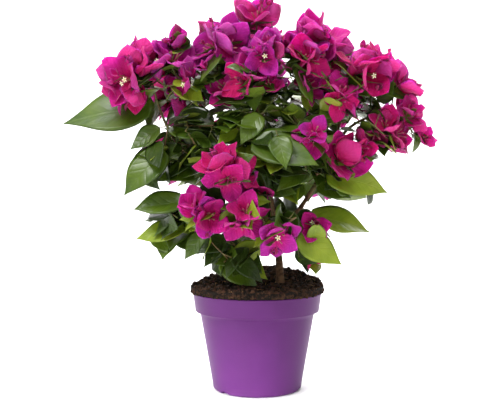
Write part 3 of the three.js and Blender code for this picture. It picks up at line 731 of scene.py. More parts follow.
# ---------- pot
@dataclass
class Pot:
    """The moulded nursery pot: a tapering wall, a deep rim band and three notches in the foot.

    Sizes are millimetres, as in the solids.
    """

    height: float = 127.0
    rim: float = 85.0
    band_foot: float = 81.2
    band_height: float = 103.5
    shoulder: float = 74.3
    shoulder_height: float = 96.5
    foot: float = 58.2
    foot_round: float = 5.0
    wall: float = 1.9
    floor: float = 3.5
    sides: int = 160
    notches: int = 3
    notch_size: Triple = (9.0, 14.0, 5.0)
    notch_turn: float = -137.0
    lip: float = 0.9
    sharp_from: float = 38.0

    def arc(self, centre: Pair, radius: float, start: float, end: float,
            steps: int = 6) -> Array:
        """Points of (radius, height) on an arc between two angles in degrees."""
        turn = np.radians(np.linspace(start, end, steps))
        return np.stack((centre[0] + radius * np.cos(turn), centre[1] + radius * np.sin(turn)), axis=1)

    def profile(self) -> Array:
        """Outside from the middle of the foot up, over the lip, and down the inside.

        Returns:
            Radius and height of each ring, mm.
        """
        slope = math.degrees(math.atan2(self.shoulder - self.foot, self.shoulder_height))
        foot_arc = self.arc((self.foot - self.foot_round, self.foot_round), self.foot_round, -90, -slope, 7)
        wall = np.linspace((self.foot, self.foot_round + 1), (self.shoulder, self.shoulder_height), 9)[1:]
        step = self.band_foot - self.shoulder
        under = np.array([(self.shoulder + step * (1 - math.cos(t)), self.shoulder_height
                           + (self.band_height - self.shoulder_height) * math.sin(t) ** 1.3)
                          for t in np.linspace(0.25, math.pi / 2 - 0.12, 6)])
        band = np.array(((self.band_foot - 0.1, self.band_height - 0.5),
                         (self.band_foot + 0.25, self.band_height + 0.6),
                         (self.rim - 0.9, self.height - 3.4), (self.rim - 0.7, self.height - 2.6)))
        lip = self.arc((self.rim - self.lip, self.height - self.lip), self.lip, -20, 180, 9)
        inside = np.array(((self.rim - self.wall - 0.3, self.height - 3),
                           (self.band_foot - self.wall, self.band_height),
                           (self.shoulder - self.wall, self.shoulder_height + 1.5),
                           (self.foot - self.wall, self.floor + self.foot_round / 2),
                           (self.foot - self.wall - 3, self.floor)))
        ends = np.array(((0.0, 0.0),)), np.array(((0.0, self.floor),))
        return np.concatenate((ends[0], foot_arc, wall, under, band, lip, inside, ends[1]))

    def notch_cutters(self) -> Mesh:
        """Arched bars that cut the drainage notches out of the foot.

        Returns:
            Points and faces, mm.
        """
        depth, width, tall = self.notch_size
        bars = []
        for index in range(self.notches):
            turn = math.radians(self.notch_turn + 360 / self.notches * index)
            out = np.array((math.cos(turn), math.sin(turn), 0.0))
            reach = np.array((self.foot + 1 - depth, self.foot + 3))
            path = out * reach[:, None] + UP * -0.2
            around = 2 * math.pi * np.arange(24) / 24
            flat = 1 / np.sqrt((np.cos(around) / (width / 2)) ** 2 + (np.sin(around) / (tall + 0.2)) ** 2)
            bars.append(tubes(path[None], np.broadcast_to(flat, (1, 2, 24)), 24))
        return join(bars)

    def build(self) -> None:
        """Turns the profile, cuts the notches and dresses the pot."""
        points, faces = revolve(self.profile(), self.sides)
        pot = add_piece("pot_moulding", points * MM, faces, POT_FINISH, ("pot",))
        cut_points, cut_faces = self.notch_cutters()
        cut_mesh = bpy.data.meshes.new("notch_cutters")
        cut_mesh.from_pydata((cut_points * MM).tolist(), [], cut_faces.tolist())
        cutter = stand("notch_cutters", cut_mesh)
        cut = pot.modifiers.new("notches", "BOOLEAN")
        cut.object = cutter
        cut.solver = "EXACT"
        finished = bpy.data.meshes.new_from_object(
            pot.evaluated_get(bpy.context.evaluated_depsgraph_get()))
        pot.modifiers.clear()
        pot.data = finished
        finished.set_sharp_from_angle(angle=math.radians(self.sharp_from))
        bpy.data.objects.remove(cutter)
        LOG.info("pot_moulding: notches cut, %d faces", len(finished.polygons))


# ---------- soil
@dataclass
class Soil:
    """Heaped compost: a lumpy mound, loose crumbs and tan fibres. Sizes are millimetres."""

    crown: float = 11.0
    edge: float = 9.0
    spill: float = 87.5
    lump: float = 1.2
    bank: float = 17.0
    bank_from: float = -0.05
    bank_to: float = 0.7
    bank_side: float = 0.25
    bottom: float = 96.0
    rings: int = 110
    sides: int = 260
    crumbs: int = 1900
    edge_crumbs: int = 1100
    fibres: int = 240
    crumble: tuple[tuple[float, float, int], ...] = ((5.0, 9.0, 11), (3.2, 4.0, 12), (1.6, 1.8, 13))

    def height(self, x: Array, y: Array) -> Array:
        """Height over the pot's rim: a mound that falls with the fourth power, a bank and lumps.

        Args:
            x: X of the places.
            y: Y of the places.

        Returns:
            Heights, mm.
        """
        share = np.hypot(x, y) / self.spill
        back = (y + self.bank_side * x) / self.spill
        rise = np.clip((back - self.bank_from) / (self.bank_to - self.bank_from), 0, 1)
        bank = self.bank * rise * rise * (3 - 2 * rise)
        lumps = np.sin(x * 0.21 + 1) * np.cos(y * 0.24) + 0.6 * np.sin(x * 0.47 + y * 0.39)
        mound = self.edge + (self.crown - self.edge) * (1 - share ** 4)
        return mound + (bank + self.lump * lumps) * (1 - share ** 6)

    def surface(self, x: Array, y: Array) -> Array:
        """Height over the pot's underside, with crumbly noise of three sizes.

        Args:
            x: X of the places.
            y: Y of the places.

        Returns:
            Heights, mm.
        """
        flat = np.stack((x, y, np.zeros_like(x)), axis=1)
        crumble = sum(depth * (value_noise(flat, size, seed) - 0.5) for depth, size, seed in self.crumble)
        share = np.clip(np.hypot(x, y) / self.spill, 0, 1)
        return POT.height + self.height(x, y) + crumble * (1 - 0.6 * share ** 8) - 0.8

    def mound(self) -> Mesh:
        """The heap: rings of the surface, then down inside the pot's wall.

        Returns:
            Points and faces, mm.
        """
        share = (np.arange(1, self.rings + 1) / self.rings) ** 0.8
        turn = 2 * math.pi * np.arange(self.sides) / self.sides
        ragged = 1 + 0.012 * (value_noise(around(40, turn, 0), 4.0, 14) - 0.7)
        radius = self.spill * share[:, None] * (1 + (ragged - 1) * share[:, None] ** 6)
        x, y = radius * np.cos(turn), radius * np.sin(turn)
        top = np.stack((x, y, self.surface(x.ravel(), y.ravel()).reshape(x.shape)), axis=-1)
        inner = POT.rim - POT.wall - 0.6
        levels = ((self.spill - 1.4, POT.height + 1.3), (inner, POT.height + 0.4),
                  (POT.shoulder - POT.wall - 0.6, self.bottom))
        skirts = [around(radius, turn, level) for radius, level in levels]
        rings = np.concatenate((top, np.stack(skirts)))[::-1]
        ends = np.array(((0, 0, self.bottom), (0, 0, float(self.surface(np.zeros(1), np.zeros(1))[0]))))
        points = np.concatenate((rings.reshape(-1, 3), ends))
        return points, tube_faces(len(rings), self.sides)

    def scatter(self, count: int, seed: int) -> tuple[Array, Array]:
        """Seeded places on the heap, thicker towards the edge.

        Args:
            count: how many.
            seed: picks the places.

        Returns:
            Places, mm, and their numbers.
        """
        index = np.arange(count)
        radius = (self.spill - 2) * np.sqrt(roll(seed, index, 1))
        turn = 2 * math.pi * roll(seed, index, 2)
        x, y = radius * np.cos(turn), radius * np.sin(turn)
        return np.stack((x, y, self.surface(x, y)), axis=1), index

    def spilled(self, count: int, seed: int) -> Array:
        """Seeded places on the heap's steep edge, where it hangs a little over the pot's lip.

        Args:
            count: how many.
            seed: picks the places.

        Returns:
            Places, mm.
        """
        index = np.arange(count)
        turn = 2 * math.pi * roll(seed, index, 1)
        up = roll(seed, index, 2)
        radius = self.spill - 1.0 - 1.6 * up + 0.9 * np.sin(7 * turn + 1) * roll(seed, index, 3)
        return around(radius, turn, POT.height + 1.2 + (self.edge - 1.5) * up)

    def loose_crumbs(self) -> Mesh:
        """Small lumps: short fat tubes pinched at both ends, each turned its own way.

        Returns:
            Points and faces, mm.
        """
        at = np.concatenate((self.scatter(self.crumbs, 21)[0], self.spilled(self.edge_crumbs, 23)))
        index = np.arange(len(at))
        size = 0.5 + 3.6 * roll(21, index, 3) ** 3 + 0.8 * roll(21, index, 4)
        size = np.where(index < self.crumbs, size, np.minimum(size, 2.2))
        way = roll_direction(21, index, 5)
        steps = np.array((-1.0, -0.45, 0.45, 1.0))
        paths = at[:, None, :] + way[:, None, :] * (steps[:, None] * size[:, None, None])
        shape = np.array((0.35, 0.95, 0.9, 0.3))
        uneven = between(0.75, 1.25, 22, index[:, None, None], np.arange(4)[:, None], np.arange(5))
        return tubes(paths, size[:, None, None] * shape[:, None] * uneven, 5)

    def loose_fibres(self) -> Mesh:
        """Thin bent strands that lie on the heap.

        Returns:
            Points and faces, mm.
        """
        at, index = self.scatter(self.fibres, 31)
        turn = 2 * math.pi * roll(31, index, 3)
        bend = between(-0.9, 0.9, 31, index, 4)
        length = between(4, 14, 31, index, 5)
        steps = np.linspace(-0.5, 0.5, 7)
        angle = turn[:, None] + bend[:, None] * steps
        flat = np.stack((np.cos(angle), np.sin(angle)), axis=-1) * (length[:, None] * steps)[..., None]
        x, y = at[:, None, 0] + flat[..., 0], at[:, None, 1] + flat[..., 1]
        out = np.maximum(np.hypot(x, y) / (self.spill - 0.5), 1)
        x, y = x / out, y / out
        z = self.surface(x.ravel(), y.ravel()).reshape(x.shape) + 0.5
        radii = between(0.16, 0.42, 31, index, 6)[:, None] * np.array((0.5, 1, 1, 1, 1, 0.9, 0.4))
        return tubes(np.stack((x, y, z), axis=-1), radii, 4)

    def build(self) -> None:
        """Makes the heap, its crumbs and its fibres."""
        pieces = (("soil_heap", self.mound(), SOIL_FINISH),
                  ("soil_crumbs", self.loose_crumbs(), CRUMB_FINISH),
                  ("soil_fibres", self.loose_fibres(), FIBRE_FINISH))
        for name, (points, faces), finish in pieces:
            add_piece(name, points * MM, faces, finish, ("soil",))


# ---------- limbs
@dataclass
class Limb:
    """A woody limb along a quadratic curve, tapering from its foot to its tip. Millimetres.

    Attributes:
        name: the CAD node it stands for.
        points: three control points, (3, 3).
        radii: radius at the foot and at the tip.
        flare: how much wider a root flare makes the foot.
    """

    name: str
    points: Array
    radii: Pair
    flare: float = 0.0

    def radius(self, share: Array, turn: Array | float = 0.0) -> Array:
        """Radius at a share of the way and a turn: a taper, and a lobed flare that dies away.

        Args:
            share: shares of the way.
            turn: angles round it.

        Returns:
            Radii, mm.
        """
        taper = self.radii[0] + (self.radii[1] - self.radii[0]) * share
        lobes = 1 + 0.35 * np.cos(TRUNK["lobes"] * turn)
        return taper * (1 + self.flare * np.exp(-share * 9) * lobes)

    def spots(self) -> Array:
        """Places along the limb, a spot step or a little less apart, with the radius there, (k, 4).

        Returns:
            Places and radii, mm.
        """
        fine = bezier(self.points, np.linspace(0, 1, 201))
        length = float(np.sum(np.linalg.norm(np.diff(fine, axis=0), axis=1)))
        count = math.ceil(length / SPOT_STEP)
        share = np.arange(count + 1) / count
        return np.column_stack((bezier(self.points, share), self.radius(share)))

    def skin(self, bark: "Bark", number: int = 0) -> Mesh:
        """The limb with bark relief: long fissures that wander, knobs and rings at old leaf scars.

        Args:
            bark: its grid and relief.
            number: the limb's number, which picks its own pattern.

        Returns:
            Points and triangles.
        """
        seed = bark.seed + number
        share = np.linspace(0, 1, bark.rings)
        path = bezier(self.points, share)
        turn = 2 * math.pi * np.arange(bark.sides) / bark.sides
        length = float(np.linalg.norm(path[-1] - path[0]))
        s, t = np.meshgrid(share, turn, indexing="ij")
        wander = t + 0.5 * np.sin(s * length * 0.11 + seed)
        around = np.stack((np.cos(wander) * 3, np.sin(wander) * 3, s * length * 0.16), axis=-1)
        fissures = value_noise(around.reshape(-1, 3), 1.0, seed).reshape(s.shape) - 0.5
        coarse = np.stack((np.cos(t) * 2, np.sin(t) * 2, s * length * 0.05), axis=-1)
        knobs = value_noise(coarse.reshape(-1, 3), 1.0, seed + 1).reshape(s.shape) - 0.5
        scars = np.exp(-((((s * length + 7 * seed) % 19) - 9.5) / 1.3) ** 2)
        radius = self.radius(s, t) * (1 + 0.1 * knobs) + bark.depth * (1.5 * fissures + 0.45 * scars)
        return tubes(path[None], radius[None], bark.sides)


@dataclass(frozen=True)
class Bark:
    """The relief on one kind of limb.

    Attributes:
        rings: rings along the limb.
        sides: points in a ring.
        seed: picks the pattern.
        depth: depth of the relief, mm.
    """

    rings: int
    sides: int
    seed: int
    depth: float


@dataclass
class Framework:
    """The trunk, its five limbs and the boughs that lead into the masses, with their bark.

    The trunk's three control points sink into the soil, by millimetres.
    """

    trunk_bark: Bark = Bark(130, 48, 3, 0.85)
    limb_bark: Bark = Bark(90, 24, 5, 0.5)
    bough_bark: Bark = Bark(50, 14, 20, 0.32)
    sink: Triple = (2.5, 1.2, 0.0)
    limbs: dict[str, Limb] = field(default_factory=dict)
    boughs: dict[str, Limb] = field(default_factory=dict)

    def grow(self) -> None:
        """Lays out the trunk and limbs by the solids' rule, then a bough for each mass."""
        foot = np.array((*TRUNK["foot"], GROUND + GAP), dtype=float)
        top = np.array(TRUNK["top"], dtype=float)
        above = np.array((foot[0], foot[1], (foot[2] + top[2]) / 2))
        self.limbs["trunk"] = Limb("trunk", np.stack((foot, above, top)), TRUNK["radii"], TRUNK["flare"])
        for name, (parent, share, bend, tip, radii) in LIMBS.items():
            start = bezier(self.limbs[parent].points, share)
            self.limbs[name] = Limb(name, np.array((start, bend, tip), dtype=float), radii)
        for name in MASSES:
            self.boughs[name] = self.grow_bough(name)

    def grow_bough(self, name: str) -> Limb:
        """A bough from its limb towards the middle of its mass, ending just inside.

        Args:
            name: the mass it leads into.

        Returns:
            The bough.
        """
        on, share, middle, half, _ = MASSES[name]
        parent = self.limbs[on].points
        start = bezier(parent, share)
        middle = np.array(middle, dtype=float)
        apart = float(np.linalg.norm(middle - start))
        bend = start + heading(parent, share) * apart * BOUGH["lead"] + UP * apart * BOUGH["lift"]
        whole = np.stack((start, bend, middle))
        space = Walls.of(name)
        enter = 1.0
        while enter > 0:
            place = bezier(whole, enter - BOUGH["look"])
            deep = np.linalg.norm((place - middle) / np.array(half)) < BOUGH["depth"]
            if not (space.hold(place, BOUGH["margin"]) and deep):
                break
            enter -= BOUGH["look"]
        tip = bezier(whole, enter)
        return Limb(f"{name}_bough", np.stack((start, start + (bend - start) * enter, tip)), BOUGH["radii"])

    def spots(self) -> Array:
        """All limbs' places and radii."""
        return np.concatenate([limb.spots() for limb in (*self.limbs.values(), *self.boughs.values())])

    def build(self) -> None:
        """Makes the trunk's and the boughs' bark."""
        trunk = self.limbs["trunk"]
        sunk = Limb("trunk", trunk.points - np.outer(self.sink, UP), trunk.radii, trunk.flare)
        limbs = [limb for name, limb in self.limbs.items() if name != "trunk"]
        for name, finish, bark, bearers in (
                ("trunk_bark", BARK_FINISH, self.trunk_bark, [sunk]),
                ("limb_bark", BARK_FINISH, self.limb_bark, limbs),
                ("bough_bark", YOUNG_BARK_FINISH, self.bough_bark, list(self.boughs.values()))):
            points, faces = join([limb.skin(bark, number) for number, limb in enumerate(bearers)])
            add_piece(name, points * MM, faces, finish, tuple(limb.name for limb in bearers))


# ---------- spaces
@dataclass
class Walls:
    """The flat walls between one mass and all the others.

    Attributes:
        normals: unit normals that point out of the space, (k, 3).
        limits: where each wall lies along its normal, (k,).
    """

    normals: Array
    limits: Array

    @classmethod
    def of(cls, name: str) -> "Walls":
        """The walls of a mass: each is placed by the two half sizes that meet there.

        Args:
            name: the mass.

        Returns:
            Its walls.
        """
        middle, half = (np.array(v, dtype=float) for v in MASSES[name][2:4])
        others = [plan for other, plan in MASSES.items() if other != name]
        centres = np.array([plan[2] for plan in others], dtype=float)
        halves = np.array([plan[3] for plan in others], dtype=float)
        normals = centres - middle
        apart = np.linalg.norm(normals, axis=1)
        normals /= apart[:, None]
        mine = np.linalg.norm(half * normals, axis=1)
        theirs = np.linalg.norm(halves * normals, axis=1)
        return cls(normals, normals @ middle + apart * mine / (mine + theirs))

    def hold(self, places: Array, margin: float) -> Array:
        """True where a place keeps the margin to every wall."""
        return np.all(places @ self.normals.T < self.limits - margin, axis=-1)


# ---------- blades
@dataclass
class Blades:
    """Leaves or bracts as arrays; each lies along `a`, is broad along `b` and faces `n`.

    The last axis of a draw's arrays but the coordinates counts the blades of one item.
    """

    base: Array
    a: Array
    n: Array
    length: Array
    form: BladeForm

    @classmethod
    def facing(cls, base: Array, along: Array, face: Array, length: Array, form: BladeForm) -> "Blades":
        """Blades along given ways, whose faces are squared to them."""
        a = unit(along)
        return cls(base, a, unit(face - a * dot(face, a)[..., None]), length, form)

    def row(self, index: int | Array) -> "Blades":
        """The blades of one row, or of several."""
        return Blades(self.base[index], self.a[index], self.n[index], self.length[index], self.form)

    @property
    def b(self) -> Array:
        """Unit vectors across the blades."""
        return np.cross(self.n, self.a)

    def point(self, along: float, across: Array) -> Array:
        """Place at a share of the length and a distance across, folded and curled."""
        rise = self.form.fold * np.abs(across) - self.form.curl * self.length * along * along
        return (self.base + self.a * (along * self.length)[..., None] + self.b * across[..., None]
                + self.n * rise[..., None])

    def corners(self) -> Array:
        """Base, left side, tip and right side, (..., 4, 3).

        Returns:
            The corners.
        """
        half = self.length * self.form.width / 2
        none = np.zeros_like(half)
        widest = self.form.widest
        return np.stack((self.point(0, none), self.point(widest, -half), self.point(1, none),
                         self.point(widest, half)), axis=-2)

    def touch(self, spots: Array, margin: float) -> Array:
        """True for each blade that comes within the margin of a limb's spot.

        Args:
            spots: places and radii.
            margin: the gap kept, mm.

        Returns:
            One truth for each blade.
        """
        away = spots[:, :3] - self.base[..., None, :]
        length = self.length[..., None]
        along = np.sum(away * self.a[..., None, :], axis=-1) / length
        across = np.abs(np.sum(away * self.b[..., None, :], axis=-1))
        room = spots[:, 3] + margin
        held = np.clip(along, 0, 1)
        power = math.log(0.5) / math.log(self.form.widest)
        half = length * self.form.width / 2 * np.sin(math.pi * held ** power)
        half = np.where((held <= 0) | (held >= 1), 0, half)
        rise = self.form.fold * across - self.form.curl * length * held * held
        near = (along * length >= -room) & ((along - 1) * length <= room)
        level = np.abs(np.sum(away * self.n[..., None, :], axis=-1) - rise) < room
        return np.any(near & (across < half + room) & level, axis=-1)


def segments_cut(starts: Array, ends: Array, triangles: Array) -> bool:
    """True if any segment passes through any triangle, by signed volumes.

    Args:
        starts: where the segments start.
        ends: where they end.
        triangles: three corners of each.

    Returns:
        Whether one does.
    """
    if not len(starts) or not len(triangles):
        return False
    way = (ends - starts)[:, None]
    first, second = triangles[:, 1] - triangles[:, 0], triangles[:, 2] - triangles[:, 0]
    normal = np.cross(first, second)[None]
    facing = dot(way, normal)
    sign = np.sign(facing)
    size = np.abs(facing)
    off = starts[:, None] - triangles[None, :, 0]
    u = sign * dot(way, np.cross(off, second[None]))
    v = sign * dot(way, np.cross(first[None], off))
    t = -sign * dot(off, normal)
    return bool(np.any((size > 0) & (u >= 0) & (v >= 0) & (u + v <= size) & (t >= 0) & (t < size)))


EDGES = ((0, 1), (1, 2), (2, 3), (3, 0), (0, 2))
HALVES = ((0, 1, 2), (0, 2, 3))


def hearts(corners: Array, margin: float) -> tuple[Array, Array]:
    """The edges and halves of flat blades whose margins are drawn in by a share, (n, 4, 3).

    Args:
        corners: the blades' corners.
        margin: the share.

    Returns:
        Segments and triangles.
    """
    middle = (corners[:, :1] + corners[:, 2:3]) / 2
    heart = corners + (middle - corners) * margin
    edges = np.concatenate([heart[:, pair] for pair in EDGES])
    halves = np.concatenate([heart[:, three] for three in HALVES])
    return edges, halves


@dataclass(frozen=True)
class Rule:
    """How strictly an item keeps to itself.

    Attributes:
        wall: distance kept to the mass's walls, mm.
        margin: share of a blade's reach that may cross another blade.
        clear_stalks: whether stalks keep off blades and limbs.
        tries: draws for each item.
    """

    wall: float
    margin: float
    clear_stalks: bool
    tries: int


Draw = Callable[[Array, int, Array], tuple[Array, Array, Blades]]

SOLID_RULE = Rule(0.25, 0.0, True, SPACE["tries"])
FINE_RULE = Rule(-10.0, 0.5, False, 80)
FINE_STALK = {"shortest": 3.0, "longest": 34.0, "back": 0.2}
OUTLYING_KEY = 7


@dataclass
class Item:
    """A blossom, leaf or bud on its stalk; its two keys seed its own draws."""

    organ: Organ
    at: Array
    lead: Array
    blades: Blades
    keys: tuple[int, int]
    start: Array | None = None

    @property
    def room(self) -> float:
        """Distance kept to other items' bases."""
        return self.blades.form.room

    @property
    def has_bracts(self) -> bool:
        """True for a blossom or a bud."""
        return self.organ in (Organ.BLOSSOM, Organ.FINE_BLOSSOM, Organ.BUD)


def outwards(at: Array) -> Array:
    """The way out of the crown at a place, drawn towards the plant's front and back."""
    return unit((at - CROWN_MIDDLE) * CROWN_PULL)


def make_trios(at: Array, axis: Array, size: Array, turn: Array, opening: Array, form: BladeForm) -> Blades:
    """Three bracts round each axis, opened by an angle; arrays have a blossom and a bract axis.

    Args:
        at: blossoms' places.
        axis: their axes.
        size: bract lengths.
        turn: turns about the axes.
        opening: angles from them.
        form: proportions.

    Returns:
        The bracts.
    """
    reference = np.where(np.abs(axis[:, 2:]) < 0.9, UP, FRONT)
    side = unit(np.cross(axis, reference))
    turns = turn[:, None] + 2 * math.pi / 3 * np.arange(3)
    axes = np.broadcast_to(axis[:, None], (len(axis), 3, 3))
    out = turned(np.broadcast_to(side[:, None], axes.shape), axes, turns)
    c, s = np.cos(opening)[:, None, None], np.sin(opening)[:, None, None]
    base = np.broadcast_to(at[:, None], axes.shape)
    lengths = np.broadcast_to(size[:, None], turns.shape)
    return Blades.facing(base, axes * c + out * s, axes * s - out * c, lengths, form)


@dataclass
class Mass:
    """One mass of the crown, grown by the solids' rule inside its own walls."""

    name: str
    number: int
    bough: Limb
    spots: Array
    twigs: list[tuple[Array, Array, float, float]] = field(default_factory=list)
    items: list[Item] = field(default_factory=list)
    nodes: list[Array] = field(default_factory=list)

    def __post_init__(self) -> None:
        """Reads the mass's plan and starts its empty lists."""
        _, _, middle, _, tufts = MASSES[self.name]
        self.middle = np.array(middle, dtype=float)
        self.tufts = np.array(tufts, dtype=float)
        self.walls = Walls.of(self.name)
        self.bars = np.zeros((0, 2, 3))
        self.corners = np.zeros((0, 4, 3))
        self.rule = SOLID_RULE
        self.set_rule(SOLID_RULE)
        near = np.linalg.norm(self.spots[:, :3] - self.middle, axis=1) < SPACE["near"]
        self.spots = self.spots[near]

    def set_rule(self, rule: Rule) -> None:
        """Takes up a rule, and draws in the margins of all blades by it."""
        self.rule = rule
        self.edges, self.triangles = hearts(self.corners, rule.margin)

    def add_twig(self, start: Array, end: Array, first: float, last: float) -> None:
        """Adds a twig, and the places along it where side twigs may start.

        Args:
            start: its start.
            end: its end.
            first: its radius at the start.
            last: its radius at the end.
        """
        self.twigs.append((start, end, first, last))
        self.bars = np.concatenate((self.bars, np.stack((start, end))[None]))
        count = math.floor(float(np.linalg.norm(end - start)) / TWIG["node"])
        self.nodes.extend(start + (end - start) * i / count for i in range(1, count))

    def clear(self, start: Array, end: Array) -> bool:
        """True where a twig between two places keeps to the space, off limbs and off blades.

        Args:
            start: the start.
            end: the end.

        Returns:
            True if it is free.
        """
        margin = TWIG["stem"] + GAP
        if not bool(np.all(self.walls.hold(np.stack((start, end)), margin))):
            return False
        length = float(np.linalg.norm(end - start))
        share = np.arange(0, length + 1e-9, 2) / length
        places = start + (end - start) * share[:, None]
        apart = np.linalg.norm(places[:, None] - self.spots[None, :, :3], axis=-1)
        if np.any(apart < self.spots[:, 3] + margin):
            return False
        return not segments_cut(start[None], end[None], self.triangles)

    def reach(self, at: Array, lead: Array | None, choices: int) -> Array | None:
        """Where the last stretch of twig to a place starts, or None where none can reach it.

        Args:
            at: the place.
            lead: the way the last stretch comes in, if it matters.
            choices: how many of the nearest nodes are tried.

        Returns:
            The start of the last stretch.
        """
        places = np.array(self.nodes)
        gaps = np.linalg.norm(places - at, axis=1)
        if not self.rule.clear_stalks:
            return self.nearest_node(places, gaps, at, lead)
        for index in np.argsort(gaps, kind="stable")[:choices]:
            node, apart = self.nodes[index], float(gaps[index])
            if apart < TWIG["shortest"]:
                continue
            facing = lead is None or float(np.dot(lead, at - node)) >= SPACE["lead"] * apart
            if facing and apart < TWIG["long"]:
                if not self.clear(node, at):
                    continue
                del self.nodes[index]
                return node
            knee = node + (at - node) * TWIG["bend"] if lead is None else at - lead * TWIG["knee"]
            knee = knee - UP * TWIG["bow"]
            if (np.linalg.norm(knee - node) < TWIG["shortest"] or not self.clear(node, knee)
                    or not self.clear(knee, at)):
                continue
            del self.nodes[index]
            self.add_twig(node, knee, TWIG["root"], TWIG["branch"])
            return knee
        return None

    def nearest_node(self, places: Array, gaps: Array, at: Array, lead: Array) -> Array | None:
        """The nearest node that a straight stalk comes from without turning back.

        Args:
            places: nodes.
            gaps: their distances.
            at: the item's place.
            lead: the way the stalk comes in.

        Returns:
            The node, or None.
        """
        facing = (at - places) @ lead >= -FINE_STALK["back"] * gaps
        fit = np.flatnonzero(facing & (gaps > FINE_STALK["shortest"]) & (gaps < FINE_STALK["longest"]))
        return places[fit[np.argmin(gaps[fit])]] if len(fit) else None

    def roomy(self, blades: Blades, tuft: Array | None) -> Array:
        """True for each row of blades that keeps to the space, its tuft, off the soil and limbs.

        Args:
            blades: the rows.
            tuft: its place and radius, or None.

        Returns:
            One truth for each row.
        """
        corners = blades.corners()
        flat = corners.reshape(len(corners), -1, 3)
        good = np.all(self.walls.hold(flat, self.rule.wall), axis=1)
        if tuft is not None:
            apart = np.linalg.norm(flat - tuft[:3], axis=-1)
            good &= np.all(apart < SPACE["reach"] * tuft[3], axis=1)
        beside = np.hypot(flat[..., 0], flat[..., 1]) > SPACE["beside"]
        ground = POT.height + SOIL.height(flat[..., 0], flat[..., 1]) + SPACE["above"]
        good &= np.all((flat[..., 2] > ground) | beside, axis=1)
        index = np.flatnonzero(good)
        near = blades.row(index)
        good[index] = ~near.touch(self.spots, SPACE["clear"]).any(axis=1)
        return good

    def take(self, item: Item, choices: int) -> bool:
        """Joins an item by a twig if it is clear of all that has grown.

        Args:
            item: the item.
            choices: how many nodes are tried.

        Returns:
            True if it joined.
        """
        if self.items:
            others = np.array([other.at for other in self.items])
            rooms = np.array([other.room for other in self.items])
            if np.any(np.linalg.norm(others - item.at, axis=1) <= (rooms + item.room) / 2):
                return False
        corners = item.blades.corners()
        edges, halves = hearts(corners, self.rule.margin)
        if (segments_cut(edges[:, 0], edges[:, 1], self.triangles)
                or segments_cut(self.edges[:, 0], self.edges[:, 1], halves)
                or self.rule.clear_stalks and segments_cut(self.bars[:, 0], self.bars[:, 1], halves)):
            return False
        start = self.reach(item.at, item.lead, choices)
        if start is None:
            return False
        item.start = start
        self.items.append(item)
        self.bars = np.concatenate((self.bars, np.stack((start, item.at))[None]))
        self.nodes.append(start + (item.at - start) * 0.5)
        self.corners = np.concatenate((self.corners, corners))
        self.edges = np.concatenate((self.edges, edges))
        self.triangles = np.concatenate((self.triangles, halves))
        return True

    def start_stem(self) -> None:
        """The stem from the bough's tip, a branch to each tuft, then the outlying leaves."""
        way = heading(self.bough.points, 1)
        start = self.bough.points[2] + way * GAP
        neck = start + way * TWIG["neck"]
        heart = neck + (self.middle - neck) * TWIG["heart"]
        self.twigs.append((start, neck + way * TWIG["overlap"], TWIG["stem"], TWIG["stem"]))
        self.add_twig(neck, heart, TWIG["stem"], TWIG["branch"])
        for tuft in self.tufts:
            at = tuft[:3]
            joint = self.reach(at, None, TWIG["choices"])
            if joint is not None:
                self.add_twig(joint, at, TWIG["root"], TWIG["branch"])
        for row, values in enumerate(OUTLYING_LEAVES):
            blades = outlying_blade(values)
            if self.roomy(blades, None)[0]:
                one = blades.row(0)
                leaf = Item(Organ.LEAF, one.base[0], one.a[0], one, (OUTLYING_KEY, row))
                self.take(leaf, len(self.nodes))

    def bear(self, index: int, tuft: Array, organ: Organ, count: int, draw: Draw) -> None:
        """Bears up to a count of one organ in a tuft, trying its draws in order.

        Args:
            index: the tuft's number.
            tuft: its place and radius.
            organ: what to bear.
            count: how many.
            draw: makes all the draws at once.
        """
        if count <= 0:
            return
        seed = 100 * self.number + 10 * index + organ.value
        attempts = np.arange(count * self.rule.tries)
        at, lead, blades = draw(tuft, seed, attempts)
        taken = 0
        for k in np.flatnonzero(self.roomy(blades, tuft)):
            if self.take(Item(organ, at[k], lead[k], blades.row(k), (seed, int(k))), TWIG["choices"]):
                taken += 1
                if taken == count:
                    return

    def grow(self, finer: "Finer") -> None:
        """Grows the solids' items, then the finer ones between them.

        Args:
            finer: the finer growth.
        """
        self.start_stem()
        for index, tuft in enumerate(self.tufts):
            self.bear(index, tuft, Organ.BLOSSOM, int(tuft[4]), SOLID_TRIOS.draws)
            self.bear(index, tuft, Organ.LEAF, int(tuft[5]), draw_leaves)
        self.set_rule(FINE_RULE)
        for index, tuft in enumerate(self.tufts):
            self.bear(index, tuft, Organ.FINE_BLOSSOM, round(tuft[4] * finer.blossoms), FINE_TRIOS.draws)
            self.bear(index, tuft, Organ.BUD, round(tuft[4] * finer.buds), BUD_TRIOS.draws)
            self.bear(index, tuft, Organ.FINE_LEAF, round(tuft[5] * finer.leaves + finer.more_leaves),
                      draw_fine_leaves)
        for index, row in enumerate(INNER_TUFTS.get(self.name, ()), start=len(self.tufts)):
            tuft = np.array(row, dtype=float)
            self.bear(index, tuft, Organ.FINE_BLOSSOM, row[4], FINE_TRIOS.draws)
            self.bear(index, tuft, Organ.FINE_LEAF, row[5], draw_fine_leaves)


@dataclass(frozen=True)
class Finer:
    """How many finer items grow for each one in the solids."""

    blossoms: float = 2.7
    buds: float = 0.4
    leaves: float = 1.3
    more_leaves: float = 3.0


